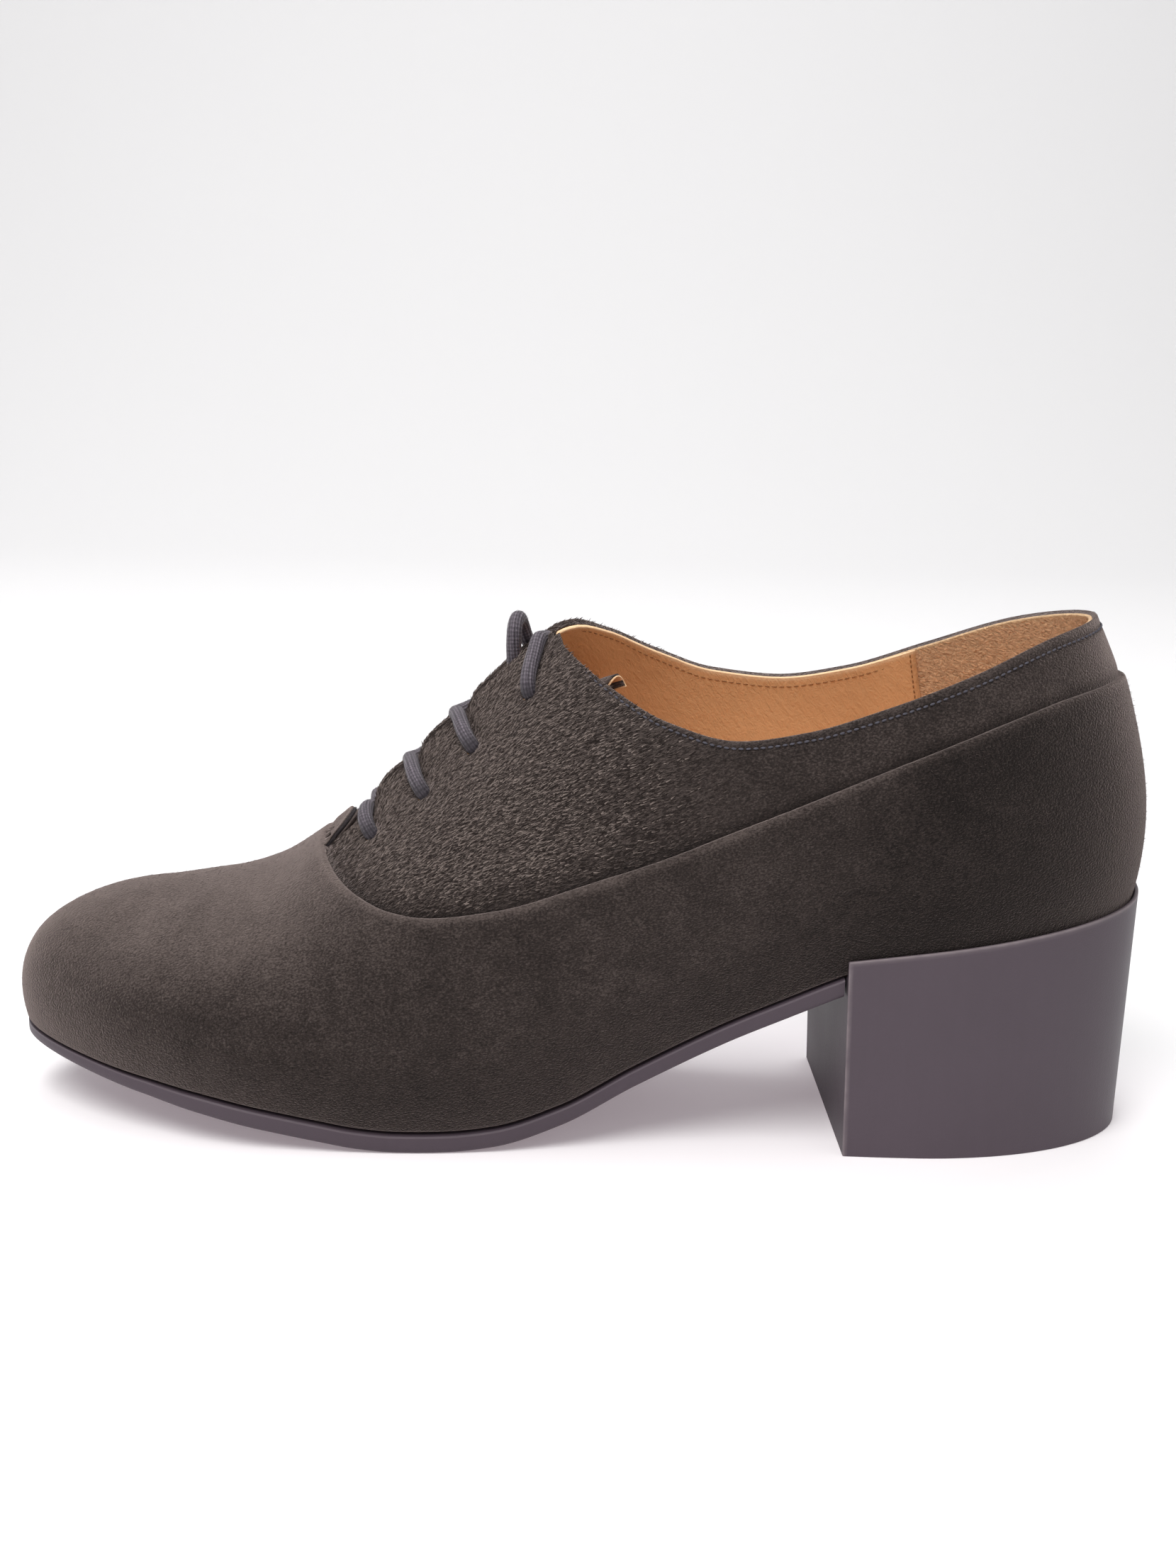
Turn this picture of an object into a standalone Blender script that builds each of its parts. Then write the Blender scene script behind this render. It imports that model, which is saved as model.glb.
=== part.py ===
"""Lace-up suede shoe on a block heel, left foot, as an assembly of separate solids.

Sizes are in millimetres from the heel's own axis and become metres at the mesh.
Toe towards -X, heel towards +X, outer (lateral) side towards -Y, floor at Z = 0.
The upper, tongue, tab, heel cup and lace all read one last surface, which runs
around the foot (along: toe tip 0, heel back 1) and up it (rise: feather 0, cone 1).
"""
import math
from collections import namedtuple

import bmesh
import bpy
from mathutils import Vector

MM = 0.001

# Overall sizes
TOE_X = -124.9
HEEL_X = 122.2
AXIS_Y = -6.4
FIT_GAP = 0.3
LAYER_GAP = 0.5

# Plan of the last's bottom: a full round toe, straight sides and an oval heel
TOE_CAP_X = -94.0
TOE_CAP_END = 0.18
TOE_TIP_Y = 7.1
TOE_SQUARENESS = 2.1
HEEL_CAP_X = 74.0
HEEL_CAP_START = 0.78

# Wall and layer thicknesses
UPPER_WALL = 2.0
SOLE_CHAMFER = 0.7
INSOLE_THICKNESS = 2.0
INSOLE_INSET = 2.6
TONGUE_THICKNESS = 1.5
TAB_THICKNESS = 1.4

# Heel block
BREAST_X = 56.0
BREAST_SLOPE = 0.028
RIM_WIDTH = 0.9
HEEL_FOOT_MARGIN = 1.6

# Lace
CORD_DIAMETER = 3.0

LATERAL = -1
MEDIAL = 1

# Mesh fineness
STATIONS = 56
UPPER_ROWS = 11

Plan = namedtuple("Plan", "x lateral medial")
PLAN = [
    Plan(-125.0, 12.0, 28.0),
    Plan(-94.0, 22.5, 36.8),
    Plan(-82.0, 27.0, 40.5),
    Plan(-68.0, 29.9, 44.0),
    Plan(-52.0, 30.6, 46.2),
    Plan(-36.0, 30.4, 46.4),
    Plan(-20.0, 29.4, 43.0),
    Plan(-4.0, 27.6, 36.0),
    Plan(12.0, 26.0, 29.6),
    Plan(30.0, 25.6, 25.8),
    Plan(48.0, 27.0, 26.2),
    Plan(74.0, 28.0, 28.0),
    Plan(125.0, 28.0, 28.0),
]

Bottom = namedtuple("Bottom", "x z thickness")
SOLE_BOTTOM = [
    Bottom(-125.0, 13.9, 2.4),
    Bottom(-110.0, 11.8, 2.9),
    Bottom(-94.0, 9.2, 3.3),
    Bottom(-80.0, 6.8, 3.8),
    Bottom(-68.0, 4.6, 4.0),
    Bottom(-56.0, 2.2, 4.0),
    Bottom(-45.0, 0.0, 4.0),
    Bottom(-29.0, 0.0, 4.0),
    Bottom(-18.0, 1.1, 4.0),
    Bottom(-4.0, 5.5, 4.0),
    Bottom(12.0, 14.2, 4.0),
    Bottom(27.0, 22.1, 4.0),
    Bottom(40.0, 28.5, 4.0),
    Bottom(50.0, 33.3, 4.0),
    Bottom(56.0, 36.0, 4.0),
]
SEAT_SLOPE = 0.131

# Height of the heel's cup rim over the seat
Rim = namedtuple("Rim", "along rise")
RIM = [
    Rim(0.70, 4.2),
    Rim(0.85, 4.6),
    Rim(0.95, 5.1),
    Rim(1.00, 6.0),
]

Margin = namedtuple("Margin", "along proud")
SOLE_MARGIN = [
    Margin(0.00, 0.2),
    Margin(0.12, -0.3),
    Margin(0.24, 0.7),
    Margin(0.78, 0.8),
]

Cone = namedtuple("Cone", "along x crest_y spread z tilt")
CONE = [
    Cone(0.00, -90.5, 7.3, 0.0, 49.3, 0.0),
    Cone(0.10, -87.0, 7.3, 0.0, 49.65, 0.0),
    Cone(0.18, -77.0, 7.0, 0.0, 51.35, 0.0),
    Cone(0.24, -67.0, 6.4, 0.0, 54.6, 0.0),
    Cone(0.30, -55.0, 5.6, 0.0, 62.3, 0.0),
    Cone(0.36, -43.0, 4.5, 0.0, 74.2, 0.0),
    Cone(0.42, -31.0, 3.4, 0.0, 86.6, 0.0),
    Cone(0.48, -18.0, 2.2, 0.0, 100.3, 0.0),
    Cone(0.53, -8.0, 1.2, 1.0, 110.5, 10.0),
    Cone(0.57, 4.0, 0.7, 7.0, 118.0, 35.0),
    Cone(0.62, 18.0, 0.3, 14.5, 122.5, 60.0),
    Cone(0.70, 40.0, 0.0, 20.0, 124.0, 73.0),
    Cone(0.78, 63.0, 0.0, 20.0, 124.0, 73.0),
    Cone(1.00, 105.8, 0.0, 0.0, 124.0, 63.0),
]

Flank = namedtuple("Flank", "along lateral_lean medial_lean lower upper")
FLANK = [
    Flank(0.00, 14.5, 14.5, 0.453, 0.553),
    Flank(0.10, 17.9, 15.5, 0.435, 0.455),
    Flank(0.18, 22.0, 16.0, 0.46, 0.42),
    Flank(0.30, 24.0, 13.0, 0.43, 0.34),
    Flank(0.36, 24.0, 12.0, 0.42, 0.29),
    Flank(0.42, 24.0, 12.0, 0.41, 0.27),
    Flank(0.52, 24.0, 20.0, 0.38, 0.26),
    Flank(0.62, 22.0, 25.0, 0.36, 0.33),
    Flank(0.78, 17.0, 17.0, 0.36, 0.35),
    Flank(1.00, 16.0, 16.0, 0.39, 0.35),
]

Topline = namedtuple("Topline", "x lateral medial")
TOPLINE = [
    Topline(-13.0, 116.0, 105.2),
    Topline(-9.0, 110.9, 107.6),
    Topline(-6.0, 107.6, 109.1),
    Topline(-3.5, 105.5, 109.5),
    Topline(5.0, 99.9, 107.0),
    Topline(16.0, 94.3, 101.8),
    Topline(30.0, 91.0, 96.8),
    Topline(45.0, 93.2, 95.3),
    Topline(61.0, 98.2, 97.8),
    Topline(79.0, 105.0, 104.2),
    Topline(97.0, 112.3, 111.5),
    Topline(111.0, 115.7, 115.7),
]
CORNER_BLEND = 0.12
PROFILE_LENGTH = 100.0

Facing = namedtuple("Facing", "x half_gap")
FACING = [
    Facing(-52.0, 0.0),
    Facing(-45.0, 2.6),
    Facing(-25.0, 3.4),
    Facing(-8.0, 4.4),
    Facing(4.0, 4.4),
    Facing(20.0, 0.0),
]

# Lace holes of each row, and its bar's crest on the ridge
Bar = namedtuple("Bar", "crest_x along rise")
LACE_BARS = [
    Bar(-48.4, 0.345, 0.765),
    Bar(-38.6, 0.397, 0.763),
    Bar(-28.4, 0.443, 0.780),
]
Hole = namedtuple("Hole", "along rise")
TOP_HOLE = Hole(0.496, 0.791)

# Lace ends past the facing's edge: over it and down inside
LATERAL_END = [
    Vector((-10.3, -3.8, 109.3)),
    Vector((-9.0, -0.2, 108.4)),
    Vector((-8.4, 0.6, 104.6)),
    Vector((-8.4, 0.6, 102.0)),
]
MEDIAL_END = [
    Vector((-14.2, 7.2, 109.4)),
    Vector((-15.2, 4.4, 111.0)),
    Vector((-16.1, 1.8, 108.8)),
    Vector((-16.3, 1.4, 104.0)),
    Vector((-16.0, 1.6, 99.5)),
]

Tongue = namedtuple("Tongue", "along reach")
TONGUE = [
    Tongue(0.27, 11.0),
    Tongue(0.33, 15.0),
    Tongue(0.46, 17.0),
]
TONGUE_ROWS = 9
TONGUE_COLUMNS = 12

# Free tip of the tongue past the facings: its last section moved back and up, and narrowed
Tip = namedtuple("Tip", "back up width")
TONGUE_TIP = [
    Tip(7.0, 1.3, 0.92),
    Tip(14.0, 2.5, 0.75),
    Tip(21.0, 3.7, 0.55),
    Tip(25.5, 4.6, 0.42),
    Tip(28.5, 3.6, 0.30),
]

# Throat tab: rows from its sewn front to its free back edge
Tab = namedtuple("Tab", "crest_x lift")
TAB = [
    Tab(-58.0, 0.0),
    Tab(-56.0, 0.1),
    Tab(-53.6, 0.5),
    Tab(-51.4, 1.4),
]
TAB_HALF_WIDTH = 11.0
TAB_SWEEP = 5.0
TAB_COLUMNS = 6

SUEDE = ("suede", (0.105, 0.095, 0.078), 0.95)
SOCK_LEATHER = ("sock_leather", (0.50, 0.24, 0.09), 0.55)
SOLE_RUBBER = ("sole_rubber", (0.075, 0.065, 0.070), 0.55)
LACE_COTTON = ("lace_cotton", (0.085, 0.080, 0.100), 0.60)


def table_value(rows, column, at):
    """Read a column at a station, on a smooth curve through the rows that never overshoots them."""
    keys = [row[0] for row in rows]
    values = [getattr(row, column) for row in rows]
    at = min(max(at, keys[0]), keys[-1])
    last = len(keys) - 1
    steps = [(values[i + 1] - values[i]) / (keys[i + 1] - keys[i]) for i in range(last)]

    def slope(i):
        if i == 0:
            return steps[0]
        if i == last:
            return steps[-1]
        if steps[i - 1] * steps[i] <= 0.0:
            return 0.0
        return 2.0 * steps[i - 1] * steps[i] / (steps[i - 1] + steps[i])

    i = max(k for k in range(last) if keys[k] <= at)
    span = keys[i + 1] - keys[i]
    t = (at - keys[i]) / span
    rise = values[i + 1] - values[i]
    bend_in = slope(i) * span - rise
    bend_out = rise - slope(i + 1) * span
    return values[i] + rise * t + t * (1.0 - t) * (bend_in * (1.0 - t) + bend_out * t)


def side_column(side):
    """Name the table column of one side of the foot."""
    return "lateral" if side == LATERAL else "medial"


def sole_top_z(x):
    """Height of the sole's upper face, which carries on as the heel's sloping seat."""
    if x > BREAST_X:
        return SOLE_BOTTOM[-1].z + SOLE_BOTTOM[-1].thickness + SEAT_SLOPE * (x - BREAST_X)
    return table_value(SOLE_BOTTOM, "z", x) + table_value(SOLE_BOTTOM, "thickness", x)


def feather(along, side):
    """Point where the upper meets the sole, from the toe tip (0) round one side to the heel back (1)."""
    tip_y, fill = 0.0, 1.0
    if along < TOE_CAP_END:
        reach = math.cos(0.5 * math.pi * along / TOE_CAP_END)
        x = TOE_CAP_X + (TOE_X - TOE_CAP_X) * reach
        fill = (1.0 - reach ** TOE_SQUARENESS) ** (1.0 / TOE_SQUARENESS)
        tip_y = TOE_TIP_Y
    elif along > HEEL_CAP_START:
        x = HEEL_CAP_X + (HEEL_X - HEEL_CAP_X) * math.sin(heel_turn(along))
        fill = math.cos(heel_turn(along))
    else:
        share = (along - TOE_CAP_END) / (HEEL_CAP_START - TOE_CAP_END)
        x = TOE_CAP_X + (HEEL_CAP_X - TOE_CAP_X) * share
    edge_y = side * table_value(PLAN, side_column(side), x)
    return Vector((x, tip_y + (edge_y - tip_y) * fill, sole_top_z(x) + FIT_GAP))


def outward(along, side):
    """Level direction that points out of the foot at the feather."""
    step = 0.004
    ahead = feather(min(along + step, 1.0), side)
    behind = feather(max(along - step, 0.0), side)
    if along - step < 0.0:
        behind = feather(step, -side)
    if along + step > 1.0:
        ahead = feather(1.0 - step, -side)
    run = ahead - behind
    return Vector((run.y, -run.x, 0.0)).normalized() * -side


def heel_turn(along):
    """Angle round the heel's oval, from its straight side (0) to the back."""
    return 0.5 * math.pi * (along - HEEL_CAP_START) / (1.0 - HEEL_CAP_START)


def cone_point(along, side):
    """Point on the line where the last's profiles end, above the vamp's ridge and the collar."""
    x = table_value(CONE, "x", along)
    spread = table_value(CONE, "spread", along)
    if along > HEEL_CAP_START:
        side_x = table_value(CONE, "x", HEEL_CAP_START)
        x = side_x + (CONE[-1].x - side_x) * math.sin(heel_turn(along))
        spread = table_value(CONE, "spread", HEEL_CAP_START) * math.cos(heel_turn(along))
    y = table_value(CONE, "crest_y", along) + side * spread
    return Vector((x, y, table_value(CONE, "z", along)))


def last_point(along, side, rise):
    """Point on the last: one cubic profile from the feather up to the cone line."""
    foot, top = feather(along, side), cone_point(along, side)
    out = outward(along, side)
    chord = (top - foot).length
    lean = math.radians(table_value(FLANK, side_column(side) + "_lean", along))
    lower = foot + (out * math.sin(lean) + Vector((0, 0, math.cos(lean)))) * chord * table_value(
        FLANK, "lower", along
    )
    run = cone_point(min(along + 0.01, 1.0), side) - cone_point(max(along - 0.01, 0.0), side)
    ridge = math.atan2(run.z, max(run.x, 1e-6))
    tilt = math.radians(table_value(CONE, "tilt", along))
    level = Vector((-out.x * math.cos(ridge), -out.y, -out.x * math.sin(ridge)))
    steep = Vector((-math.sin(ridge), 0.0, math.cos(ridge)))
    arrive = level * math.cos(tilt) + steep * math.sin(tilt)
    upper = top - arrive * chord * table_value(FLANK, "upper", along)
    back = 1.0 - rise
    return (
        foot * back ** 3
        + lower * 3.0 * back ** 2 * rise
        + upper * 3.0 * back * rise ** 2
        + top * rise ** 3
    )


def last_normal(along, side, rise):
    """Direction that points out of the last's surface."""
    step = 0.003
    around = last_point(min(along + step, 1.0), side, rise) - last_point(max(along - step, 0.0), side, rise)
    up = last_point(along, side, min(rise + step, 1.0)) - last_point(along, side, max(rise - step, 0.0))
    return around.cross(up).normalized() * -side


def rise_where(along, side, overshoot):
    """How far up a profile a measure turns from negative to positive; past 1 where it never does."""
    low, high = 0.0, 1.0
    shortfall = -overshoot(last_point(along, side, high))
    if shortfall >= -1e-6:
        return 1.0 + max(shortfall, 0.0) / PROFILE_LENGTH
    for _ in range(24):
        middle = 0.5 * (low + high)
        if overshoot(last_point(along, side, middle)) > 0.0:
            high = middle
        else:
            low = middle
    return high


def rise_off_crest(along, side, distance):
    """How far up a profile comes within a level distance of the crest line."""
    crest_y = table_value(CONE, "crest_y", along)
    return rise_where(along, side, lambda p: distance - side * (p.y - crest_y))


def top_edge(along, side):
    """How far up the profile the upper is cut: at the facing in the throat, at the topline behind it."""
    half_gap = table_value(FACING, "half_gap", table_value(CONE, "x", along))
    facing = rise_off_crest(along, side, half_gap)
    column = side_column(side)
    topline = rise_where(along, side, lambda p: p.z - table_value(TOPLINE, column, p.x))
    near = max(CORNER_BLEND - abs(facing - topline), 0.0) / CORNER_BLEND
    return min(facing, topline) - 0.25 * CORNER_BLEND * near * near


def along_of_cone(x):
    """Station whose profile ends at a given place on the ridge."""
    low, high = 0.0, 1.0
    for _ in range(24):
        middle = 0.5 * (low + high)
        if table_value(CONE, "x", middle) < x:
            low = middle
        else:
            high = middle
    return low


def along_of_feather(x):
    """Station whose profile starts at a given place along the feather."""
    share = (x - TOE_CAP_X) / (HEEL_CAP_X - TOE_CAP_X)
    return TOE_CAP_END + share * (HEEL_CAP_START - TOE_CAP_END)


def lifted(along, side, rise, height):
    """Point a given height out from the last's surface."""
    return last_point(along, side, rise) + last_normal(along, side, rise) * height


def add_object(name, data, finish, parts):
    """Put a mesh or curve in the shoe's collection under its axis, with its finish."""
    material_name, colour, roughness = finish
    material = bpy.data.materials.get(material_name)
    if material is None:
        material = bpy.data.materials.new(material_name)
        material.use_nodes = True
        shader = material.node_tree.nodes["Principled BSDF"]
        shader.inputs["Base Color"].default_value = (*colour, 1.0)
        shader.inputs["Roughness"].default_value = roughness
        shader.inputs["Metallic"].default_value = 0.0
    data.materials.append(material)
    item = bpy.data.objects.new(name, data)
    item.parent = parts.axis
    parts.collection.objects.link(item)
    return item


def mesh_from(name, points, faces):
    """Make a mesh in metres from points in millimetres, with doubles merged and faces turned out."""
    mesh = bpy.data.meshes.new(name)
    mesh.from_pydata([point * MM for point in points], [], faces)
    shape = bmesh.new()
    shape.from_mesh(mesh)
    bmesh.ops.remove_doubles(shape, verts=shape.verts, dist=0.02 * MM)
    bmesh.ops.recalc_face_normals(shape, faces=shape.faces)
    shape.to_mesh(mesh)
    shape.free()
    mesh.shade_smooth()
    mesh.set_sharp_from_angle(angle=math.radians(40.0))
    return mesh


def grid_faces(rows, columns, wrap=False):
    """Quads of a grid whose points are listed row by row."""
    faces = []
    for r in range(rows - 1):
        for c in range(columns if wrap else columns - 1):
            d = (c + 1) % columns
            faces.append((r * columns + c, r * columns + d, (r + 1) * columns + d, (r + 1) * columns + c))
    return faces


def shell(name, points, faces, thickness, finish, parts):
    """Open surface given a wall on its inner side."""
    item = add_object(name, mesh_from(name, points, faces), finish, parts)
    wall = item.modifiers.new("wall", "SOLIDIFY")
    wall.thickness = thickness * MM
    wall.offset = -1.0
    wall.use_rim = True
    return item


def loft(name, sections, finish, parts):
    """Closed solid through sections with the same number of points, capped at both ends."""
    count = len(sections[0])
    points = [point for section in sections for point in section]
    faces = grid_faces(len(sections), count, wrap=True)
    end = (len(sections) - 1) * count
    faces.append(tuple(range(count)))
    faces.append(tuple(range(end, end + count)))
    return add_object(name, mesh_from(name, points, faces), finish, parts)


def tube(name, points, parts):
    """Lace cord along a route."""
    curve = bpy.data.curves.new(name, "CURVE")
    curve.dimensions = "3D"
    curve.bevel_depth = 0.5 * CORD_DIAMETER * MM
    curve.bevel_resolution = 2
    curve.use_fill_caps = True
    spline = curve.splines.new("POLY")
    spline.points.add(len(points) - 1)
    for target, point in zip(spline.points, points):
        target.co = (*(point * MM), 1.0)
    return add_object(name, curve, LACE_COTTON, parts)


def smooth_route(points, per_span):
    """Points on a smooth curve through a route's own points."""
    ends = [points[0] * 2.0 - points[1]] + points + [points[-1] * 2.0 - points[-2]]
    route = []
    for i in range(1, len(ends) - 2):
        p0, p1, p2, p3 = ends[i - 1 : i + 3]
        for k in range(per_span):
            t = k / per_span
            route.append(
                0.5
                * (
                    p1 * 2.0
                    + (p2 - p0) * t
                    + (p0 * 2.0 - p1 * 5.0 + p2 * 4.0 - p3) * t ** 2
                    + (p1 * 3.0 - p0 - p2 * 3.0 + p3) * t ** 3
                )
            )
    return route + [points[-1]]


def build_upper(parts):
    """Hollow upper: profiles all round the foot, cut at facing and topline, open underneath."""
    loop = [(k / STATIONS, LATERAL) for k in range(STATIONS)]
    loop += [(1.0 - k / STATIONS, MEDIAL) for k in range(STATIONS)]
    cuts = [top_edge(along, side) for along, side in loop]
    points = []
    for row in range(UPPER_ROWS + 1):
        for (along, side), cut in zip(loop, cuts):
            points.append(last_point(along, side, cut * row / UPPER_ROWS))
    faces = grid_faces(UPPER_ROWS + 1, len(loop), wrap=True)
    return shell("upper", points, faces, UPPER_WALL, SUEDE, parts)


def build_tongue(parts):
    """Tongue under the facings, bridging the gap between them, with a free tip that sags inside."""
    drop = -(UPPER_WALL + LAYER_GAP)
    first, last = TONGUE[0].along, TONGUE[-1].along
    sections = []
    for row in range(TONGUE_ROWS):
        along = first + (last - first) * row / (TONGUE_ROWS - 1)
        reach = table_value(TONGUE, "reach", along)
        section = []
        for column in range(2 * TONGUE_COLUMNS + 1):
            across = column / TONGUE_COLUMNS - 1.0
            side = LATERAL if across < 0.0 else MEDIAL
            rise = rise_off_crest(along, side, reach * abs(across))
            section.append(lifted(along, side, rise, drop))
        sections.append(section)
    free = sections[-1]
    middle = free[TONGUE_COLUMNS]
    for tip in TONGUE_TIP:
        shift = Vector((tip.back, 0.0, tip.up))
        sections.append([middle + (point - middle) * tip.width + shift for point in free])
    points = [point for section in sections for point in section]
    faces = grid_faces(len(sections), 2 * TONGUE_COLUMNS + 1)
    return shell("tongue", points, faces, TONGUE_THICKNESS, SUEDE, parts)


def build_throat_tab(parts):
    """Raw-edged tab across the foot of the throat, its back edge standing off the facings."""
    points = []
    for row in TAB:
        for column in range(2 * TAB_COLUMNS + 1):
            across = column / TAB_COLUMNS - 1.0
            along = along_of_cone(row.crest_x - TAB_SWEEP * across * across)
            side = LATERAL if across < 0.0 else MEDIAL
            rise = rise_off_crest(along, side, TAB_HALF_WIDTH * abs(across))
            height = FIT_GAP + TAB_THICKNESS + row.lift * (1.0 - across * across)
            points.append(lifted(along, side, rise, height))
    faces = grid_faces(len(TAB), 2 * TAB_COLUMNS + 1)
    return shell("throat_tab", points, faces, TAB_THICKNESS, SUEDE, parts)


def plate_section(along, inset, low, high, chamfer):
    """Section of a plate across the foot, with its corners taken off."""
    corners = []
    for side in (LATERAL, MEDIAL):
        edge = feather(along, side) - outward(along, side) * inset
        edge.z = 0.0
        corners.append(edge)
    lateral, medial = corners
    inward = (medial - lateral).normalized() * min(chamfer, 0.3 * (medial - lateral).length)
    heights = [low, low + chamfer, high - chamfer, high]
    insets = [1.0, 0.0, 0.0, 1.0]
    section = [lateral + inward * k + Vector((0, 0, z)) for k, z in zip(insets, heights)]
    section += [medial - inward * k + Vector((0, 0, z)) for k, z in zip(insets[::-1], heights[::-1])]
    return section


def build_outsole(parts):
    """Thin sole from the toe tip to the heel breast, flat on the floor at the ball."""
    end = along_of_feather(BREAST_X - FIT_GAP)
    sections = []
    for k in range(STATIONS):
        along = 0.004 + (end - 0.004) * k / (STATIONS - 1)
        x = feather(along, LATERAL).x
        proud = table_value(SOLE_MARGIN, "proud", along)
        low = table_value(SOLE_BOTTOM, "z", x)
        sections.append(plate_section(along, -proud, low, sole_top_z(x), SOLE_CHAMFER))
    return loft("outsole", sections, SOLE_RUBBER, parts)


def build_insole(parts):
    """Sock board inside the upper, on the sole and the heel seat."""
    sections = []
    for k in range(STATIONS):
        along = 0.012 + 0.976 * k / (STATIONS - 1)
        low = sole_top_z(feather(along, LATERAL).x) + LAYER_GAP
        sections.append(plate_section(along, INSOLE_INSET, low, low + INSOLE_THICKNESS, 0.4))
    return loft("insole", sections, SOCK_LEATHER, parts)


def build_heel(parts):
    """Block heel with a flat breast and a thin cup rim that holds the upper's seat."""
    front = along_of_feather(BREAST_X)
    chain = [front] + [k / STATIONS for k in range(STATIONS + 1) if k / STATIONS > front + 0.008]
    loop = [(along, LATERAL) for along in chain] + [(along, MEDIAL) for along in chain[-2::-1]]
    foot_ring, rim_ring, lip_ring, seat_ring = [], [], [], []
    for along, side in loop:
        out = outward(along, side)
        seat = feather(along, side) + out * FIT_GAP
        seat.z -= FIT_GAP
        rim_z = seat.z + table_value(RIM, "rise", along)
        rise = rise_where(along, side, lambda p: p.z - rim_z)
        lip = last_point(along, side, rise) + out * FIT_GAP
        foot = seat + out * (HEEL_FOOT_MARGIN - FIT_GAP)
        foot.z = 0.0
        ring = [foot, lip + out * RIM_WIDTH, lip, seat]
        if along == front:
            top_z = lip.z
            for point in ring:
                point.x = BREAST_X + BREAST_SLOPE * (top_z - point.z)
        for target, point in zip((foot_ring, rim_ring, lip_ring, seat_ring), ring):
            target.append(point)
    rings = [foot_ring, rim_ring, lip_ring, seat_ring]
    count = len(loop)
    points = [point for ring in rings for point in ring]
    faces = grid_faces(len(rings), count)
    faces.append(tuple(range(count)))
    faces.append(tuple(range(3 * count, 4 * count)))
    starts = [ring * count for ring in range(4)]
    faces.append(tuple(starts + [start + count - 1 for start in reversed(starts)]))
    return add_object("heel", mesh_from("heel", points, faces), SOLE_RUBBER, parts)


def build_lace_bars(parts):
    """Bars of the lace over the facings, from the outer holes to the inner ones."""
    height = FIT_GAP + 0.5 * CORD_DIAMETER
    steps = 6
    for number, row in enumerate(LACE_BARS, start=1):
        crest = along_of_cone(row.crest_x)
        route = []
        for side in (LATERAL, MEDIAL):
            half = []
            for k in range(steps + 1):
                share = k / steps
                along = row.along + (crest - row.along) * share
                rise = row.rise + (1.0 - row.rise) * share
                half.append(lifted(along, side, rise, height))
            route += half if side == LATERAL else half[-2::-1]
        tube("lace_bar_%d" % number, route, parts)


def build_lace_ends(parts):
    """Ends of the lace: from each top hole, over the edge of the facing and down inside."""
    outside = FIT_GAP + 0.5 * CORD_DIAMETER
    for name, side, over in (
        ("lace_end_lateral", LATERAL, LATERAL_END),
        ("lace_end_medial", MEDIAL, MEDIAL_END),
    ):
        along, rise = TOP_HOLE
        edge_along = along_of_cone(over[0].x)
        edge_rise = top_edge(edge_along, side)
        route = []
        for share in (0.0, 0.4, 0.8):
            here = along + (edge_along - along) * share
            route.append(lifted(here, side, rise + (edge_rise - rise) * share, outside))
        tube(name, smooth_route(route + over, 3), parts)


def main():
    """Clear the scene and build every piece of the shoe."""
    for item in list(bpy.data.objects):
        bpy.data.objects.remove(item, do_unlink=True)
    collection = bpy.data.collections.new("lace_up_shoe")
    bpy.context.scene.collection.children.link(collection)
    axis = bpy.data.objects.new("heel_axis", None)
    axis.location = (0.0, AXIS_Y * MM, 0.0)
    collection.objects.link(axis)
    parts = namedtuple("Parts", "collection axis")(collection, axis)
    build_upper(parts)
    build_tongue(parts)
    build_throat_tab(parts)
    build_insole(parts)
    build_outsole(parts)
    build_heel(parts)
    build_lace_bars(parts)
    build_lace_ends(parts)


if __name__ == "__main__":
    main()
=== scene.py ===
"""Looks of a lace-up suede shoe on a block heel, left foot.

Every piece of the upper is laid on one last, a surface worked out from short tables of named columns.
Lengths are millimetres from the heel's own axis until a mesh is made, where they become metres.
"""
import logging
import math
from dataclasses import dataclass
from enum import Enum
from functools import lru_cache
from typing import Callable, ClassVar, Dict, List, Optional, Sequence, Tuple, Union

import bmesh
import bpy
import numpy as np
from mathutils import Matrix, Vector
from mathutils.kdtree import KDTree


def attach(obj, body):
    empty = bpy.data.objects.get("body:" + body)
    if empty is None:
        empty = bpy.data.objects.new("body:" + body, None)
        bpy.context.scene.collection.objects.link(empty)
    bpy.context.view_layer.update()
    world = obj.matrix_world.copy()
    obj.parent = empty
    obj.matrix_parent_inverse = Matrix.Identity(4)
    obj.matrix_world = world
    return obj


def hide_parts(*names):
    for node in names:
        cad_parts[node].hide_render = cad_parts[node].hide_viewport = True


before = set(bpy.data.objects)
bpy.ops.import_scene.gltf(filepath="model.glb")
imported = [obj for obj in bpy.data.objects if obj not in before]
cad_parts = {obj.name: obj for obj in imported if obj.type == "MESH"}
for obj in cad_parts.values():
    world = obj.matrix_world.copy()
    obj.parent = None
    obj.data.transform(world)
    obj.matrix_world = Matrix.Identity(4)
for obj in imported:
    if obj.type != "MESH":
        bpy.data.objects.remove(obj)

Array = np.ndarray
Amount = Union[float, Array]
Piece = bpy.types.Object
Material = bpy.types.Material
Colour = Tuple[float, float, float]
Triple = Tuple[float, float, float]
Faces = List[Tuple[int, ...]]

MM = 0.001
AXIS = (0.0, -6.4, 0.0)
WELD = 0.002
THROAT_X = -51.0
THROAT_DROP = 1.9
THROAT_REACH = 4.0
THROAT_FROM = 0.78
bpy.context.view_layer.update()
BODY = "root"
log = logging.getLogger("lace_up_shoe")


class Side(Enum):
    """Which side of the foot a piece is on; the value is the sign of its stations."""

    LATERAL = -1
    MEDIAL = 1


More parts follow.
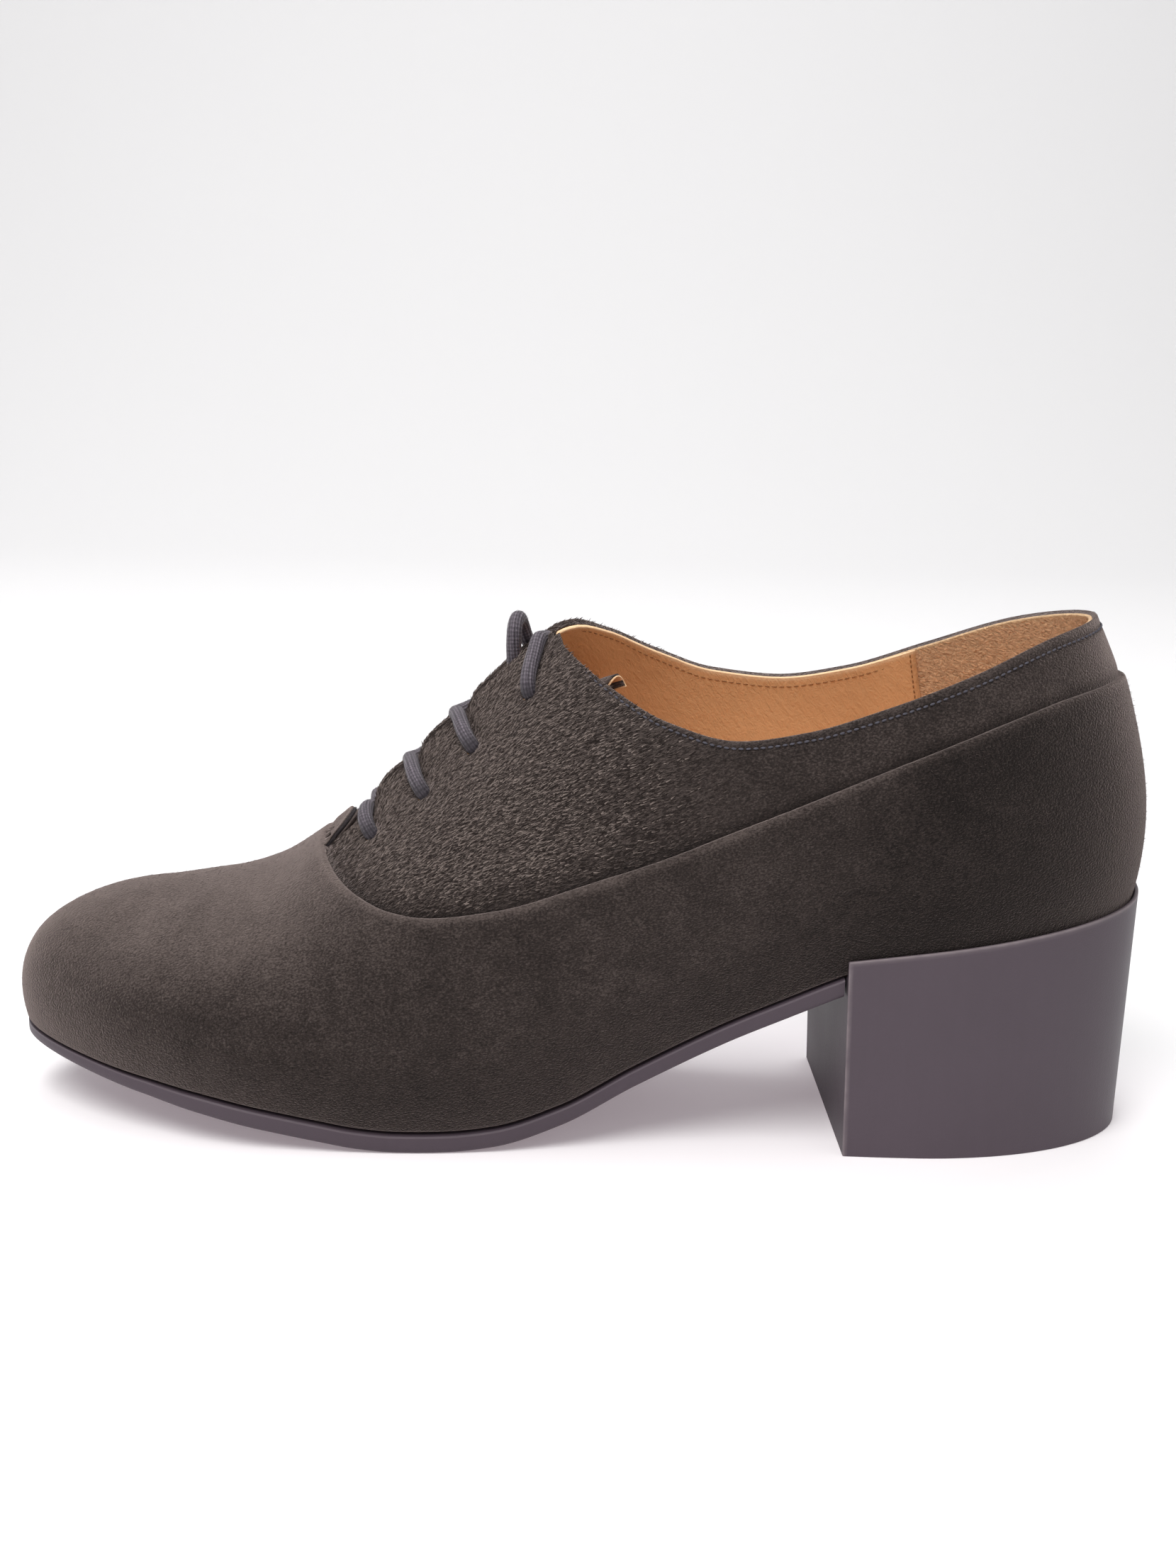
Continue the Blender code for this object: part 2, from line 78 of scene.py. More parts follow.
class Table:
    """Short table read on smooth curves that pass through its rows and never overshoot them."""

    def __init__(self, columns: str, *rows: Sequence[float]) -> None:
        """Keep the rows by column; the first column is the key.

        Args:
            columns: the columns' names.
            rows: a value for each column.
        """
        values = np.array(rows, dtype=float)
        self.key = values[:, 0]
        self.columns = {name: values[:, i] for i, name in enumerate(columns.split())}

    def read(self, column: str, at: Amount) -> Array:
        """Read one column.

        Args:
            column: the column's name.
            at: keys to read at; past either end the end row holds.

        Returns:
            The column's values there.
        """
        value = self.columns[column]
        at = np.clip(np.asarray(at, dtype=float), self.key[0], self.key[-1])
        gap = np.diff(self.key)
        step = np.diff(value) / gap
        before, after = step[:-1], step[1:]
        same = before * after > 0.0
        slope = np.empty_like(value)
        slope[0], slope[-1] = step[0], step[-1]
        slope[1:-1] = np.where(same, 2.0 * before * after / np.where(same, before + after, 1.0), 0.0)
        i = np.clip(np.searchsorted(self.key, at, side="right") - 1, 0, len(gap) - 1)
        t = (at - self.key[i]) / gap[i]
        rise = value[i + 1] - value[i]
        bend_in = slope[i] * gap[i] - rise
        bend_out = rise - slope[i + 1] * gap[i]
        return value[i] + rise * t + t * (1.0 - t) * (bend_in * (1.0 - t) + bend_out * t)


PLAN = Table(
    "x lateral medial",
    (-125, 12, 28),
    (-94, 22.5, 36.8),
    (-82, 27, 40.5),
    (-68, 29.9, 44),
    (-52, 30.6, 46.2),
    (-36, 30.4, 46.4),
    (-20, 29.4, 43),
    (-4, 27.6, 36),
    (12, 26, 29.6),
    (30, 25.6, 25.8),
    (48, 27, 26.2),
    (74, 28, 28),
    (125, 28, 28),
)
SOLE_BOTTOM = Table(
    "x z thickness",
    (-125, 13.9, 2.4),
    (-110, 11.8, 2.9),
    (-94, 9.2, 3.3),
    (-80, 6.8, 3.8),
    (-68, 4.6, 4),
    (-56, 2.4, 4),
    (-47, 0.75, 4),
    (-39, 0.05, 4),
    (-34, 0, 4),
    (-28, 0.1, 4),
    (-18, 1.1, 4),
    (-4, 5.5, 4),
    (12, 14.2, 4),
    (27, 22.1, 4),
    (40, 28.5, 4),
    (50, 33.3, 4),
    (56, 36, 4),
)
SOLE_MARGIN = Table("along proud", (0.00, 0.2), (0.12, -0.3), (0.24, 0.7), (0.78, 0.8))
RIM = Table("along rise", (0.70, 4.2), (0.85, 4.6), (0.95, 5.1), (1.00, 6))
CONE = Table(
    "along x crest_y spread z tilt",
    (0.00, -90.5, 7.3, 0, 49.3, 0),
    (0.10, -87, 7.3, 0, 49.65, 0),
    (0.18, -77, 7, 0, 51.35, 0),
    (0.24, -67, 6.4, 0, 54.6, 0),
    (0.30, -55, 5.6, 0, 62.3, 0),
    (0.36, -43, 4.5, 0, 74.2, 0),
    (0.42, -31, 3.4, 0, 86.6, 0),
    (0.48, -18, 2.2, 0, 100.3, 0),
    (0.53, -8, 1.2, 1, 110.5, 10),
    (0.57, 4, 0.7, 7, 118, 35),
    (0.62, 18, 0.3, 14.5, 122.5, 60),
    (0.70, 40, 0, 20, 124, 73),
    (0.78, 63, 0, 20, 124, 73),
    (1.00, 105.8, 0, 0, 124, 63),
)
FLANK = Table(
    "along lateral medial lower upper",
    (0.00, 14.5, 14.5, 0.453, 0.553),
    (0.10, 17.9, 15.5, 0.435, 0.455),
    (0.18, 22, 16, 0.46, 0.42),
    (0.30, 24, 13, 0.43, 0.34),
    (0.36, 24, 12, 0.42, 0.29),
    (0.42, 24, 12, 0.41, 0.27),
    (0.52, 24, 20, 0.38, 0.26),
    (0.62, 22, 25, 0.36, 0.33),
    (0.78, 17, 17, 0.36, 0.35),
    (1.00, 16, 16, 0.39, 0.35),
)
TOPLINE = Table(
    "x lateral medial",
    (-13, 116, 105.2),
    (-9, 110.9, 107.6),
    (-6, 107.6, 109.1),
    (-3.5, 105.5, 109.5),
    (5, 99.9, 107),
    (16, 94.3, 101.8),
    (30, 91, 96.8),
    (45, 93.2, 95.3),
    (61, 98.2, 97.8),
    (79, 105, 104.2),
    (97, 112.3, 111.5),
    (111, 115.7, 115.7),
)
FACING = Table("x half_gap", (-52, 0), (-45, 2.6), (-25, 3.4), (-8, 4.4), (4, 4.4), (20, 0))
SEWN = Table("along inset", (0.50, 1.5), (0.66, 1.6), (0.82, 2.3), (1.00, 2.7))
SEAM = Table(
    "x lateral medial",
    (-58, 64, 64),
    (-56.3, 60, 60.2),
    (-52.5, 56.8, 57.2),
    (-47.3, 54.3, 54.9),
    (-41, 52.5, 53.3),
    (-35.4, 52, 52.8),
    (-18.2, 54.6, 55.4),
    (-0.5, 60.4, 61),
    (17.2, 67, 67.4),
    (34.8, 74.3, 74.6),
    (70, 89.2, 89.2),
    (88.2, 96.2, 96.2),
    (100, 99.9, 99.9),
    (113.7, 102.4, 102.4),
)


def smooth_step(low: float, high: float, value: Array) -> Array:
    """Ease from 0 at low to 1 at high."""
    t = np.clip((value - low) / (high - low), 0.0, 1.0)
    return t * t * (3.0 - 2.0 * t)


def unit(vectors: Array) -> Array:
    """Scale vectors to length one."""
    return vectors / np.maximum(np.linalg.norm(vectors, axis=-1, keepdims=True), 1e-9)


def bell(value: Array, reach: float) -> Array:
    """Fade from 1 at zero, on a bell curve of a given reach."""
    return np.exp(-(value / reach) ** 2)


def run_along(line: Array) -> Array:
    """Distance of each point of a line from its start."""
    return np.concatenate([[0.0], np.cumsum(np.linalg.norm(np.diff(line, axis=0), axis=1))])


def both_sides(along: Array) -> Array:
    """Stations of both sides by way of the toe tip, where the distances start."""
    return np.concatenate([-along[::-1], along[1:]])


def round_back(along: Array) -> Array:
    """Stations of both sides by way of the heel's back, where the distances end."""
    return np.concatenate([along, 2.0 - along[-2::-1]])


def to_metres(points: Array) -> Array:
    """Millimetres from the heel's axis as the frame's metres."""
    return (points + AXIS) * MM


def to_millimetres(points: Array) -> Array:
    """The frame's metres as millimetres from the heel's axis."""
    return points / MM - AXIS


def grid_faces(columns: int, rows: int) -> Faces:
    """Quads of a grid of points kept column by column.

    Args:
        columns: count of columns.
        rows: count of rows.

    Returns:
        The faces.
    """
    return [
        (c * rows + r, c * rows + r + 1, (c + 1) * rows + r + 1, (c + 1) * rows + r)
        for c in range(columns - 1)
        for r in range(rows - 1)
    ]


def ring_faces(rings: int, count: int) -> Faces:
    """Faces of a closed loft through rings of equal count, capped at both ends.

    Args:
        rings: count of rings.
        count: points in each.

    Returns:
        The faces.
    """
    sides = [
        (s * count + p, s * count + (p + 1) % count, (s + 1) * count + (p + 1) % count, (s + 1) * count + p)
        for s in range(rings - 1)
        for p in range(count)
    ]
    return sides + [tuple(reversed(range(count))), tuple(range((rings - 1) * count, rings * count))]


@dataclass(frozen=True)
class Last:
    """The foot form that the upper is laid on.

    A place on it is a station and a rise. The station runs from the heel's back by the outer side (-1)
    to the toe tip (0) and by the inner side to the heel's back again (1), and repeats past either end.
    The rise runs from the feather (0) to the vamp's ridge and the collar's line (1).
    """

    toe_x: float = -124.9
    heel_x: float = 122.2
    toe_cap_x: float = -94.0
    toe_cap_end: float = 0.18
    toe_tip_y: float = 7.1
    toe_squareness: float = 2.1
    heel_cap_x: float = 74.0
    heel_cap_start: float = 0.78
    breast_x: float = 56.0
    seat_slope: float = 0.131
    fit_gap: float = 0.3
    corner_blend: float = 0.12
    profile_length: float = 100.0
    halvings: int = 26

    def split(self, station: Array) -> Tuple[Array, Array]:
        """Part a station into its distance from the toe tip and its side's sign."""
        station = (np.asarray(station, dtype=float) + 1.0) % 2.0 - 1.0
        return np.abs(station), np.where(station < 0.0, -1.0, 1.0)

    def of_side(self, table: Table, side: Array, at: Array) -> Array:
        """Read a table's lateral or medial column."""
        return np.where(side < 0.0, table.read("lateral", at), table.read("medial", at))

    def sole_top(self, x: Array) -> Array:
        """Height of the sole's upper face, which carries on as the heel's sloping seat."""
        top = SOLE_BOTTOM.read("z", x) + SOLE_BOTTOM.read("thickness", x)
        return top + self.seat_slope * np.maximum(np.asarray(x) - self.breast_x, 0.0)

    def heel_turn(self, along: Array) -> Array:
        """Angle round the heel's oval, from its straight side (0) to the back."""
        share = (np.maximum(along, self.heel_cap_start) - self.heel_cap_start) / (1.0 - self.heel_cap_start)
        return 0.5 * np.pi * share

    def feather(self, station: Array) -> Array:
        """Points where the upper meets the sole.

        Args:
            station: stations.

        Returns:
            Points in millimetres.
        """
        along, side = self.split(station)
        toe, heel = along < self.toe_cap_end, along > self.heel_cap_start
        reach = np.cos(0.5 * np.pi * np.clip(along / self.toe_cap_end, 0.0, 1.0))
        turn = self.heel_turn(along)
        share = (along - self.toe_cap_end) / (self.heel_cap_start - self.toe_cap_end)
        x = self.toe_cap_x + (self.heel_cap_x - self.toe_cap_x) * share
        x = np.where(toe, self.toe_cap_x + (self.toe_x - self.toe_cap_x) * reach, x)
        x = np.where(heel, self.heel_cap_x + (self.heel_x - self.heel_cap_x) * np.sin(turn), x)
        round_toe = np.maximum(1.0 - reach ** self.toe_squareness, 0.0) ** (1.0 / self.toe_squareness)
        fill = np.where(toe, round_toe, np.where(heel, np.cos(turn), 1.0))
        tip_y = np.where(toe, self.toe_tip_y, 0.0)
        edge_y = side * self.of_side(PLAN, side, x)
        return np.stack([x, tip_y + (edge_y - tip_y) * fill, self.sole_top(x) + self.fit_gap], axis=-1)

    def outward(self, station: Array) -> Array:
        """Level directions that point out of the foot at the feather.

        Args:
            station: stations.

        Returns:
            Directions of length one.
        """
        step = 0.004
        run = self.feather(station + step) - self.feather(station - step)
        return unit(np.stack([-run[..., 1], run[..., 0], np.zeros_like(run[..., 0])], axis=-1))

    def cone(self, along: Array, side: Array) -> Array:
        """Points on the line where the profiles end.

        Args:
            along: distances from the toe tip.
            side: signs of the side.

        Returns:
            Points in millimetres.
        """
        x = CONE.read("x", along)
        spread = CONE.read("spread", along)
        turn = self.heel_turn(along)
        behind = along > self.heel_cap_start
        side_x, back_x = CONE.read("x", self.heel_cap_start), CONE.columns["x"][-1]
        x = np.where(behind, side_x + (back_x - side_x) * np.sin(turn), x)
        spread = np.where(behind, CONE.read("spread", self.heel_cap_start) * np.cos(turn), spread)
        y = CONE.read("crest_y", along) + side * spread
        return np.stack([x, y, CONE.read("z", along)], axis=-1)

    def point(self, station: Array, rise: Array) -> Array:
        """Points on the last.

        Args:
            station: stations, broadcast against rise.
            rise: how far up each station's profile.

        Returns:
            Points in millimetres, with the coordinates in the last axis.
        """
        along, side = self.split(station)
        foot, top = self.feather(station), self.cone(along, side)
        out = self.outward(np.asarray(station, dtype=float))
        chord = np.linalg.norm(top - foot, axis=-1)
        lean = np.radians(self.of_side(FLANK, side, along))
        upright = np.stack([np.zeros_like(lean), np.zeros_like(lean), np.cos(lean)], axis=-1)
        leaning = out * np.sin(lean)[..., None] + upright
        lower = foot + leaning * (chord * FLANK.read("lower", along))[..., None]
        step = 0.01
        run = self.cone(np.minimum(along + step, 1.0), side) - self.cone(np.maximum(along - step, 0.0), side)
        ridge = np.arctan2(run[..., 2], np.maximum(run[..., 0], 1e-6))
        tilt = np.radians(CONE.read("tilt", along))
        level = np.stack([-out[..., 0] * np.cos(ridge), -out[..., 1], -out[..., 0] * np.sin(ridge)], axis=-1)
        steep = np.stack([-np.sin(ridge), np.zeros_like(ridge), np.cos(ridge)], axis=-1)
        arrive = level * np.cos(tilt)[..., None] + steep * np.sin(tilt)[..., None]
        upper = top - arrive * (chord * FLANK.read("upper", along))[..., None]
        t = np.asarray(rise, dtype=float)[..., None]
        back = 1.0 - t
        return foot * back ** 3 + lower * 3.0 * back ** 2 * t + upper * 3.0 * back * t ** 2 + top * t ** 3

    def normal(self, station: Array, rise: Array) -> Array:
        """Directions that point out of the last.

        Args:
            station: stations.
            rise: how far up each profile.

        Returns:
            Directions of length one.
        """
        step = 0.003
        around = self.point(station + step, rise) - self.point(station - step, rise)
        high, low = np.minimum(rise + step, 1.0), np.maximum(rise - step, 0.0)
        up = self.point(station, high) - self.point(station, low)
        return unit(np.cross(up, around))

    def lifted(self, station: Array, rise: Array, height: Amount) -> Array:
        """Points a given height out from the last."""
        height = np.broadcast_to(height, np.broadcast(station, rise).shape)
        return self.point(station, rise) + self.normal(station, rise) * height[..., None]

    def rise_where(self, station: Array, overshoot: Callable[[Array], Array]) -> Array:
        """How far up each profile a measure turns from negative to positive; past 1 where it never does.

        Args:
            station: stations.
            overshoot: measure of points, which grows up a profile.

        Returns:
            The rise at each station.
        """
        station = np.asarray(station, dtype=float)
        low, high = np.zeros_like(station), np.ones_like(station)
        shortfall = -overshoot(self.point(station, high))
        for _ in range(self.halvings):
            middle = 0.5 * (low + high)
            over = overshoot(self.point(station, middle)) > 0.0
            high = np.where(over, middle, high)
            low = np.where(over, low, middle)
        past = 1.0 + np.maximum(shortfall, 0.0) / self.profile_length
        return np.where(shortfall >= -1e-6, past, high)

    def rise_off_crest(self, station: Array, distance: Amount) -> Array:
        """How far up each profile comes within a level distance of the crest.

        Args:
            station: stations.
            distance: the level distance.

        Returns:
            The rise at each station.
        """
        along, side = self.split(station)
        crest = CONE.read("crest_y", along)
        return np.minimum(self.rise_where(station, lambda p: distance - side * (p[..., 1] - crest)), 1.0)

    def top_edge(self, station: Array) -> Array:
        """How far up each profile the upper is cut, at the facing or at the topline.

        Args:
            station: stations.

        Returns:
            The rise at each station.
        """
        along, side = self.split(station)
        half_gap = FACING.read("half_gap", CONE.read("x", along))
        crest = CONE.read("crest_y", along)
        facing = self.rise_where(station, lambda p: half_gap - side * (p[..., 1] - crest))
        topline = self.rise_where(station, lambda p: p[..., 2] - self.of_side(TOPLINE, side, p[..., 0]))
        near = np.maximum(self.corner_blend - np.abs(facing - topline), 0.0) / self.corner_blend
        return np.minimum(facing, topline) - 0.25 * self.corner_blend * near * near

    def galosh_edge(self, station: Array) -> Array:
        """How far up each profile the galosh reaches: the whole way on the vamp, to its seam behind it.

        Args:
            station: stations.

        Returns:
            The rise at each station.
        """
        _, side = self.split(station)
        seam = self.rise_where(station, lambda p: p[..., 2] - self.of_side(SEAM, side, p[..., 0]))
        return np.minimum(seam, 1.0)

    @lru_cache(maxsize=None)
    def seam_start(self) -> float:
        """Distance from the toe tip of the profile where the galosh's seam leaves the ridge."""
        along = np.linspace(0.25, 0.35, 3000)
        return float(along[np.argmax(self.galosh_edge(-along) < 1.0)])

    @lru_cache(maxsize=None)
    def along_of_crest(self, x: float) -> float:
        """Distance from the toe tip of the profile that ends at a given place on the ridge."""
        along = np.linspace(0.0, self.heel_cap_start, 4000)
        return float(np.interp(x, CONE.read("x", along), along))

    def along_of_feather(self, x: float) -> float:
        """Distance from the toe tip of the profile that starts at a given place on the straight side."""
        share = (x - self.toe_cap_x) / (self.heel_cap_x - self.toe_cap_x)
        return self.toe_cap_end + share * (self.heel_cap_start - self.toe_cap_end)


LAST = Last()


@dataclass(frozen=True)
class Grid:
    """Places of a panel on the last: a column for each station, rows from its lower edge to its upper one."""

    station: Array
    rise: Array
    above: Array
    below: Array

    @staticmethod
    def between(station: Array, low: Array, high: Array, foot_steps: Sequence[float],
                edge_steps: Sequence[float], rows: int) -> "Grid":
        """Lay rows between two edges, with close rows at fixed distances from each edge.

        Args:
            station: the columns' stations.
            low: rise of the lower edge at each column.
            high: rise of the upper edge at each column.
            foot_steps: distances of the lowest rows from the lower edge.
            edge_steps: distances of the highest rows from the upper edge.
            rows: count of even rows between them.

        Returns:
            The grid, with each place's distance above the lower edge and below the upper one.
        """
        share = np.linspace(0.0, 1.0, 90)
        fine = low[:, None] + (high - low)[:, None] * share
        points = LAST.point(station[:, None] + 0.0 * fine, fine)
        run = np.linalg.norm(np.diff(points, axis=1), axis=-1)
        length = np.concatenate([np.zeros((len(station), 1)), np.cumsum(run, axis=1)], axis=1)
        rise, above = [], []
        for column in range(len(station)):
            whole = length[column, -1]
            scale = min(1.0, 0.8 * whole / max(foot_steps[-1] + edge_steps[-1], 1e-6))
            first = np.array(foot_steps) * scale
            last = whole - np.array(edge_steps)[::-1] * scale
            even = np.linspace(first[-1], last[0], rows + 2)[1:-1]
            place = np.concatenate([first, even, last])
            above.append(place)
            rise.append(np.interp(place, length[column], fine[column]))
        above = np.array(above)
        return Grid(station[:, None] + 0.0 * above, np.array(rise), above, length[:, -1:] - above)

    def footed(self, rows: int) -> "Grid":
        """The same grid with its lowest row repeated below itself."""
        parts = (self.station, self.rise, self.above, self.below)
        return Grid(*(np.pad(part, ((0, 0), (rows, 0)), mode="edge") for part in parts))

    def faces(self) -> Faces:
        """Quads that face outwards where the stations grow from column to column."""
        return grid_faces(*self.rise.shape)


def even_columns(along: Array, rise: Array, side: Side, pitch: float) -> Array:
    """Pick columns so that the points of an edge lie evenly apart.

    Args:
        along: fine distances from the toe tip, growing.
        rise: the edge's rise at each.
        side: side to measure on.
        pitch: distance between columns in millimetres.

    Returns:
        The columns' distances from the toe tip, both ends included.
    """
    points = LAST.point(side.value * along, rise)
    length = run_along(points)
    count = int(length[-1] / pitch) + 1
    return np.interp(np.linspace(0.0, length[-1], count), length, along)


def nearest(points: Array, targets: Array) -> Tuple[Array, Array]:
    """Measure each point's distance to a cloud of targets.

    Args:
        points: points in millimetres, of any grid shape.
        targets: the cloud, one point a row.

    Returns:
        The distances and the indices of the nearest targets, in the points' grid shape.
    """
    tree = KDTree(len(targets))
    for i, target in enumerate(targets):
        tree.insert(target, i)
    tree.balance()
    flat = points.reshape(-1, 3)
    found = [tree.find(p) for p in flat]
    distance = np.array([hit[2] for hit in found]).reshape(points.shape[:-1])
    index = np.array([hit[1] for hit in found]).reshape(points.shape[:-1])
    return distance, index


def smooth_route(points: Sequence[Array], per_span: int = 10, passes: int = 10) -> Array:
    """Even points on a smooth curve along a route's own points.

    Args:
        points: the route's own points.
        per_span: curve points from each to the next.
        passes: rounds of smoothing.

    Returns:
        The curve's points.
    """
    route = np.array(points, dtype=float)
    ends = np.vstack([2.0 * route[0] - route[1], route, 2.0 * route[-1] - route[-2]])
    curve = []
    for p0, p1, p2, p3 in zip(ends, ends[1:], ends[2:], ends[3:]):
        for t in np.arange(per_span) / per_span:
            curve.append(0.5 * (2.0 * p1 + (p2 - p0) * t + (2.0 * p0 - 5.0 * p1 + 4.0 * p2 - p3) * t ** 2
                                + (3.0 * p1 - p0 - 3.0 * p2 + p3) * t ** 3))
    smooth = np.array(curve + [route[-1]])
    run = run_along(smooth)
    even = np.linspace(0.0, run[-1], len(run))
    smooth = np.stack([np.interp(even, run, smooth[:, k]) for k in range(3)], axis=1)
    for _ in range(passes):
        smooth[1:-1] = 0.25 * smooth[:-2] + 0.5 * smooth[1:-1] + 0.25 * smooth[2:]
    return smooth


def throat_drop(places: Array, rise: Array) -> Array:
    """How far the facings and all under them sink at the foot of the throat, behind the tab."""
    return THROAT_DROP * bell(places[..., 0] - THROAT_X, THROAT_REACH) * smooth_step(THROAT_FROM, 1.0, rise)


Term = Union[float, "Wire"]


class Wire:
    """A node's output that takes part in arithmetic; each operation adds a Math node."""

    def __init__(self, owner: "Nodes", socket: bpy.types.NodeSocket) -> None:
        """Keep the socket and the tree that owns it."""
        self.owner = owner
        self.socket = socket

    def other(self, output: str) -> "Wire":
        """Another output of the same node."""
        return Wire(self.owner, self.owner.find(self.socket.node.outputs, output))

    def math(self, operation: str, *others: Term, swap: bool = False) -> "Wire":
        """Join this value to others through one Math node.

        Args:
            operation: the node's operation.
            others: the other values.
            swap: whether this value comes last.

        Returns:
            The result.
        """
        terms = [self, *others]
        if swap:
            terms.reverse()
        return self.owner.node("ShaderNodeMath", {"operation": operation}, dict(enumerate(terms)))

    def __add__(self, other: Term) -> "Wire":
        """Sum."""
        return self.math("ADD", other)

    def __sub__(self, other: Term) -> "Wire":
        """Difference."""
        return self.math("SUBTRACT", other)

    def __rsub__(self, other: float) -> "Wire":
        """Difference from a number."""
        return self.math("SUBTRACT", other, swap=True)

    def __mul__(self, other: Term) -> "Wire":
        """Product."""
        return self.math("MULTIPLY", other)

    def __truediv__(self, other: Term) -> "Wire":
        """Quotient."""
        return self.math("DIVIDE", other)

    def __rtruediv__(self, other: float) -> "Wire":
        """Quotient of a number by this."""
        return self.math("DIVIDE", other, swap=True)

    __radd__ = __add__
    __rmul__ = __mul__

    def wave(self) -> "Wire":
        """Sine."""
        return self.math("SINE")

    def between(self, low: float, high: float) -> "Wire":
        """Ease from 0 at low to 1 at high.

        Args:
            low: value that gives 0.
            high: value that gives 1.

        Returns:
            The eased value.
        """
        span = {"Value": self, "From Min": low, "From Max": high}
        return self.owner.node("ShaderNodeMapRange", {"interpolation_type": "SMOOTHSTEP"}, span)


class Nodes:
    """A node tree under construction."""

    tree: bpy.types.NodeTree

    def node(self, kind: str, settings: Dict, inputs: Dict, output: Union[int, str] = 0) -> Wire:
        """Add a node.

        Args:
            kind: the node's type.
            settings: its own properties, set first.
            inputs: values or wires by socket name, identifier or number.
            output: name, identifier or number of the socket handed back.

        Returns:
            The chosen output.
        """
        made = self.tree.nodes.new(kind)
        for key, value in settings.items():
            setattr(made, key, value)
        for key, value in inputs.items():
            socket = self.find(made.inputs, key)
            if isinstance(value, Wire):
                self.tree.links.new(value.socket, socket)
            elif isinstance(value, tuple) and socket.type == "RGBA":
                socket.default_value = (*value, 1.0)
            else:
                socket.default_value = value
        return Wire(self, self.find(made.outputs, output))

    @staticmethod
    def find(sockets: bpy.types.bpy_prop_collection, key: Union[int, str]) -> bpy.types.NodeSocket:
        """Find a socket by number, identifier or name.

        Args:
            sockets: a node's inputs or outputs.
            key: what to look for.

        Returns:
            The socket.
        """
        if isinstance(key, int):
            return sockets[key]
        return next((s for s in sockets if s.identifier == key), None) or sockets[key]

    def vector(self, operation: str, first: Union[Wire, Tuple], second: Union[Wire, Tuple, float]) -> Wire:
        """Join two vectors, or scale one by a number, through one Vector Math node.

        Args:
            operation: the node's operation.
            first: a vector.
            second: a vector or a number.

        Returns:
            The result.
        """
        second_socket = "Scale" if operation == "SCALE" else 1
        output = "Value" if operation == "DOT_PRODUCT" else "Vector"
        inputs = {0: first, second_socket: second}
        return self.node("ShaderNodeVectorMath", {"operation": operation}, inputs, output)


class Rig(Nodes):
    """Geometry node tree with named inputs, run once on a piece."""

    def __init__(self, name: str, **kinds: str) -> None:
        """Start a tree; each keyword names an input and gives its kind of socket.

        Args:
            name: the tree's name.
            kinds: each input's kind of socket.
        """
        self.tree = bpy.data.node_groups.new(name, "GeometryNodeTree")
        face = self.tree.interface
        face.new_socket("Geometry", in_out="INPUT", socket_type="NodeSocketGeometry")
        for key, kind in kinds.items():
            face.new_socket(key, in_out="INPUT", socket_type="NodeSocket" + kind)
        face.new_socket("Geometry", in_out="OUTPUT", socket_type="NodeSocketGeometry")
        self.source = self.tree.nodes.new("NodeGroupInput")

    def given(self, name: str) -> Wire:
        """One of the tree's named inputs."""
        return Wire(self, self.source.outputs[name])

    def attribute(self, name: Union[str, Wire], kind: str) -> Wire:
        """Values kept on the piece under a name."""
        return self.node("GeometryNodeInputNamedAttribute", {"data_type": kind}, {"Name": name}, "Attribute")

    def strayed(self, way: Wire, reach: float, amount: Wire, seed: Wire) -> Wire:
        """A direction that strays at random, each part of it by up to a reach times an amount.

        Args:
            way: the direction.
            reach: most of each random part.
            amount: what scales it.
            seed: seed of the draw.

        Returns:
            The new direction.
        """
        swing = {"Min": (-reach, -reach, -reach), "Max": (reach, reach, reach), "Seed": seed}
        chance = self.node("FunctionNodeRandomValue", {"data_type": "FLOAT_VECTOR"}, swing)
        return self.vector("ADD", way, self.vector("SCALE", chance, amount))

    def facing(self, way: Wire, out: Wire) -> Wire:
        """Turn that lays a shape's length along one direction and its top towards another."""
        axes = {"Primary Axis": way, "Secondary Axis": out}
        return self.node("FunctionNodeAxesToRotation", {"primary_axis": "X", "secondary_axis": "Z"}, axes)

    def plant(self, points: Wire, shape: Wire, turn: Wire, scale: Union[Tuple, Wire], smooth: bool) -> None:
        """Put a shape on every point, make the copies real and dress them; the tree ends here.

        Args:
            points: where the copies go.
            shape: what is copied.
            turn: each copy's turn.
            scale: each copy's size.
            smooth: whether they are shaded smooth.
        """
        put = self.node("GeometryNodeInstanceOnPoints", {},
                        {"Points": points, "Instance": shape, "Rotation": turn, "Scale": scale})
        real = self.node("GeometryNodeRealizeInstances", {}, {"Geometry": put})
        shaded = self.node("GeometryNodeSetShadeSmooth", {}, {0: real, "Shade Smooth": smooth})
        dress = {"Geometry": shaded, "Material": self.given("finish")}
        dressed = self.node("GeometryNodeSetMaterial", {}, dress)
        target = self.tree.nodes.new("NodeGroupOutput")
        self.tree.links.new(dressed.socket, target.inputs["Geometry"])

    def run(self, item: Piece,
            **values: Union[float, int, str, Tuple, Material]) -> Piece:
        """Run the tree on a piece with the given inputs and keep the result as its plain mesh.

        Args:
            item: the piece.
            values: the inputs by name.

        Returns:
            The piece.
        """
        rig = item.modifiers.new("rig", "NODES")
        rig.node_group = self.tree
        for socket in self.tree.interface.items_tree:
            if socket.name in values:
                rig[socket.identifier] = values[socket.name]
        return settle(item)


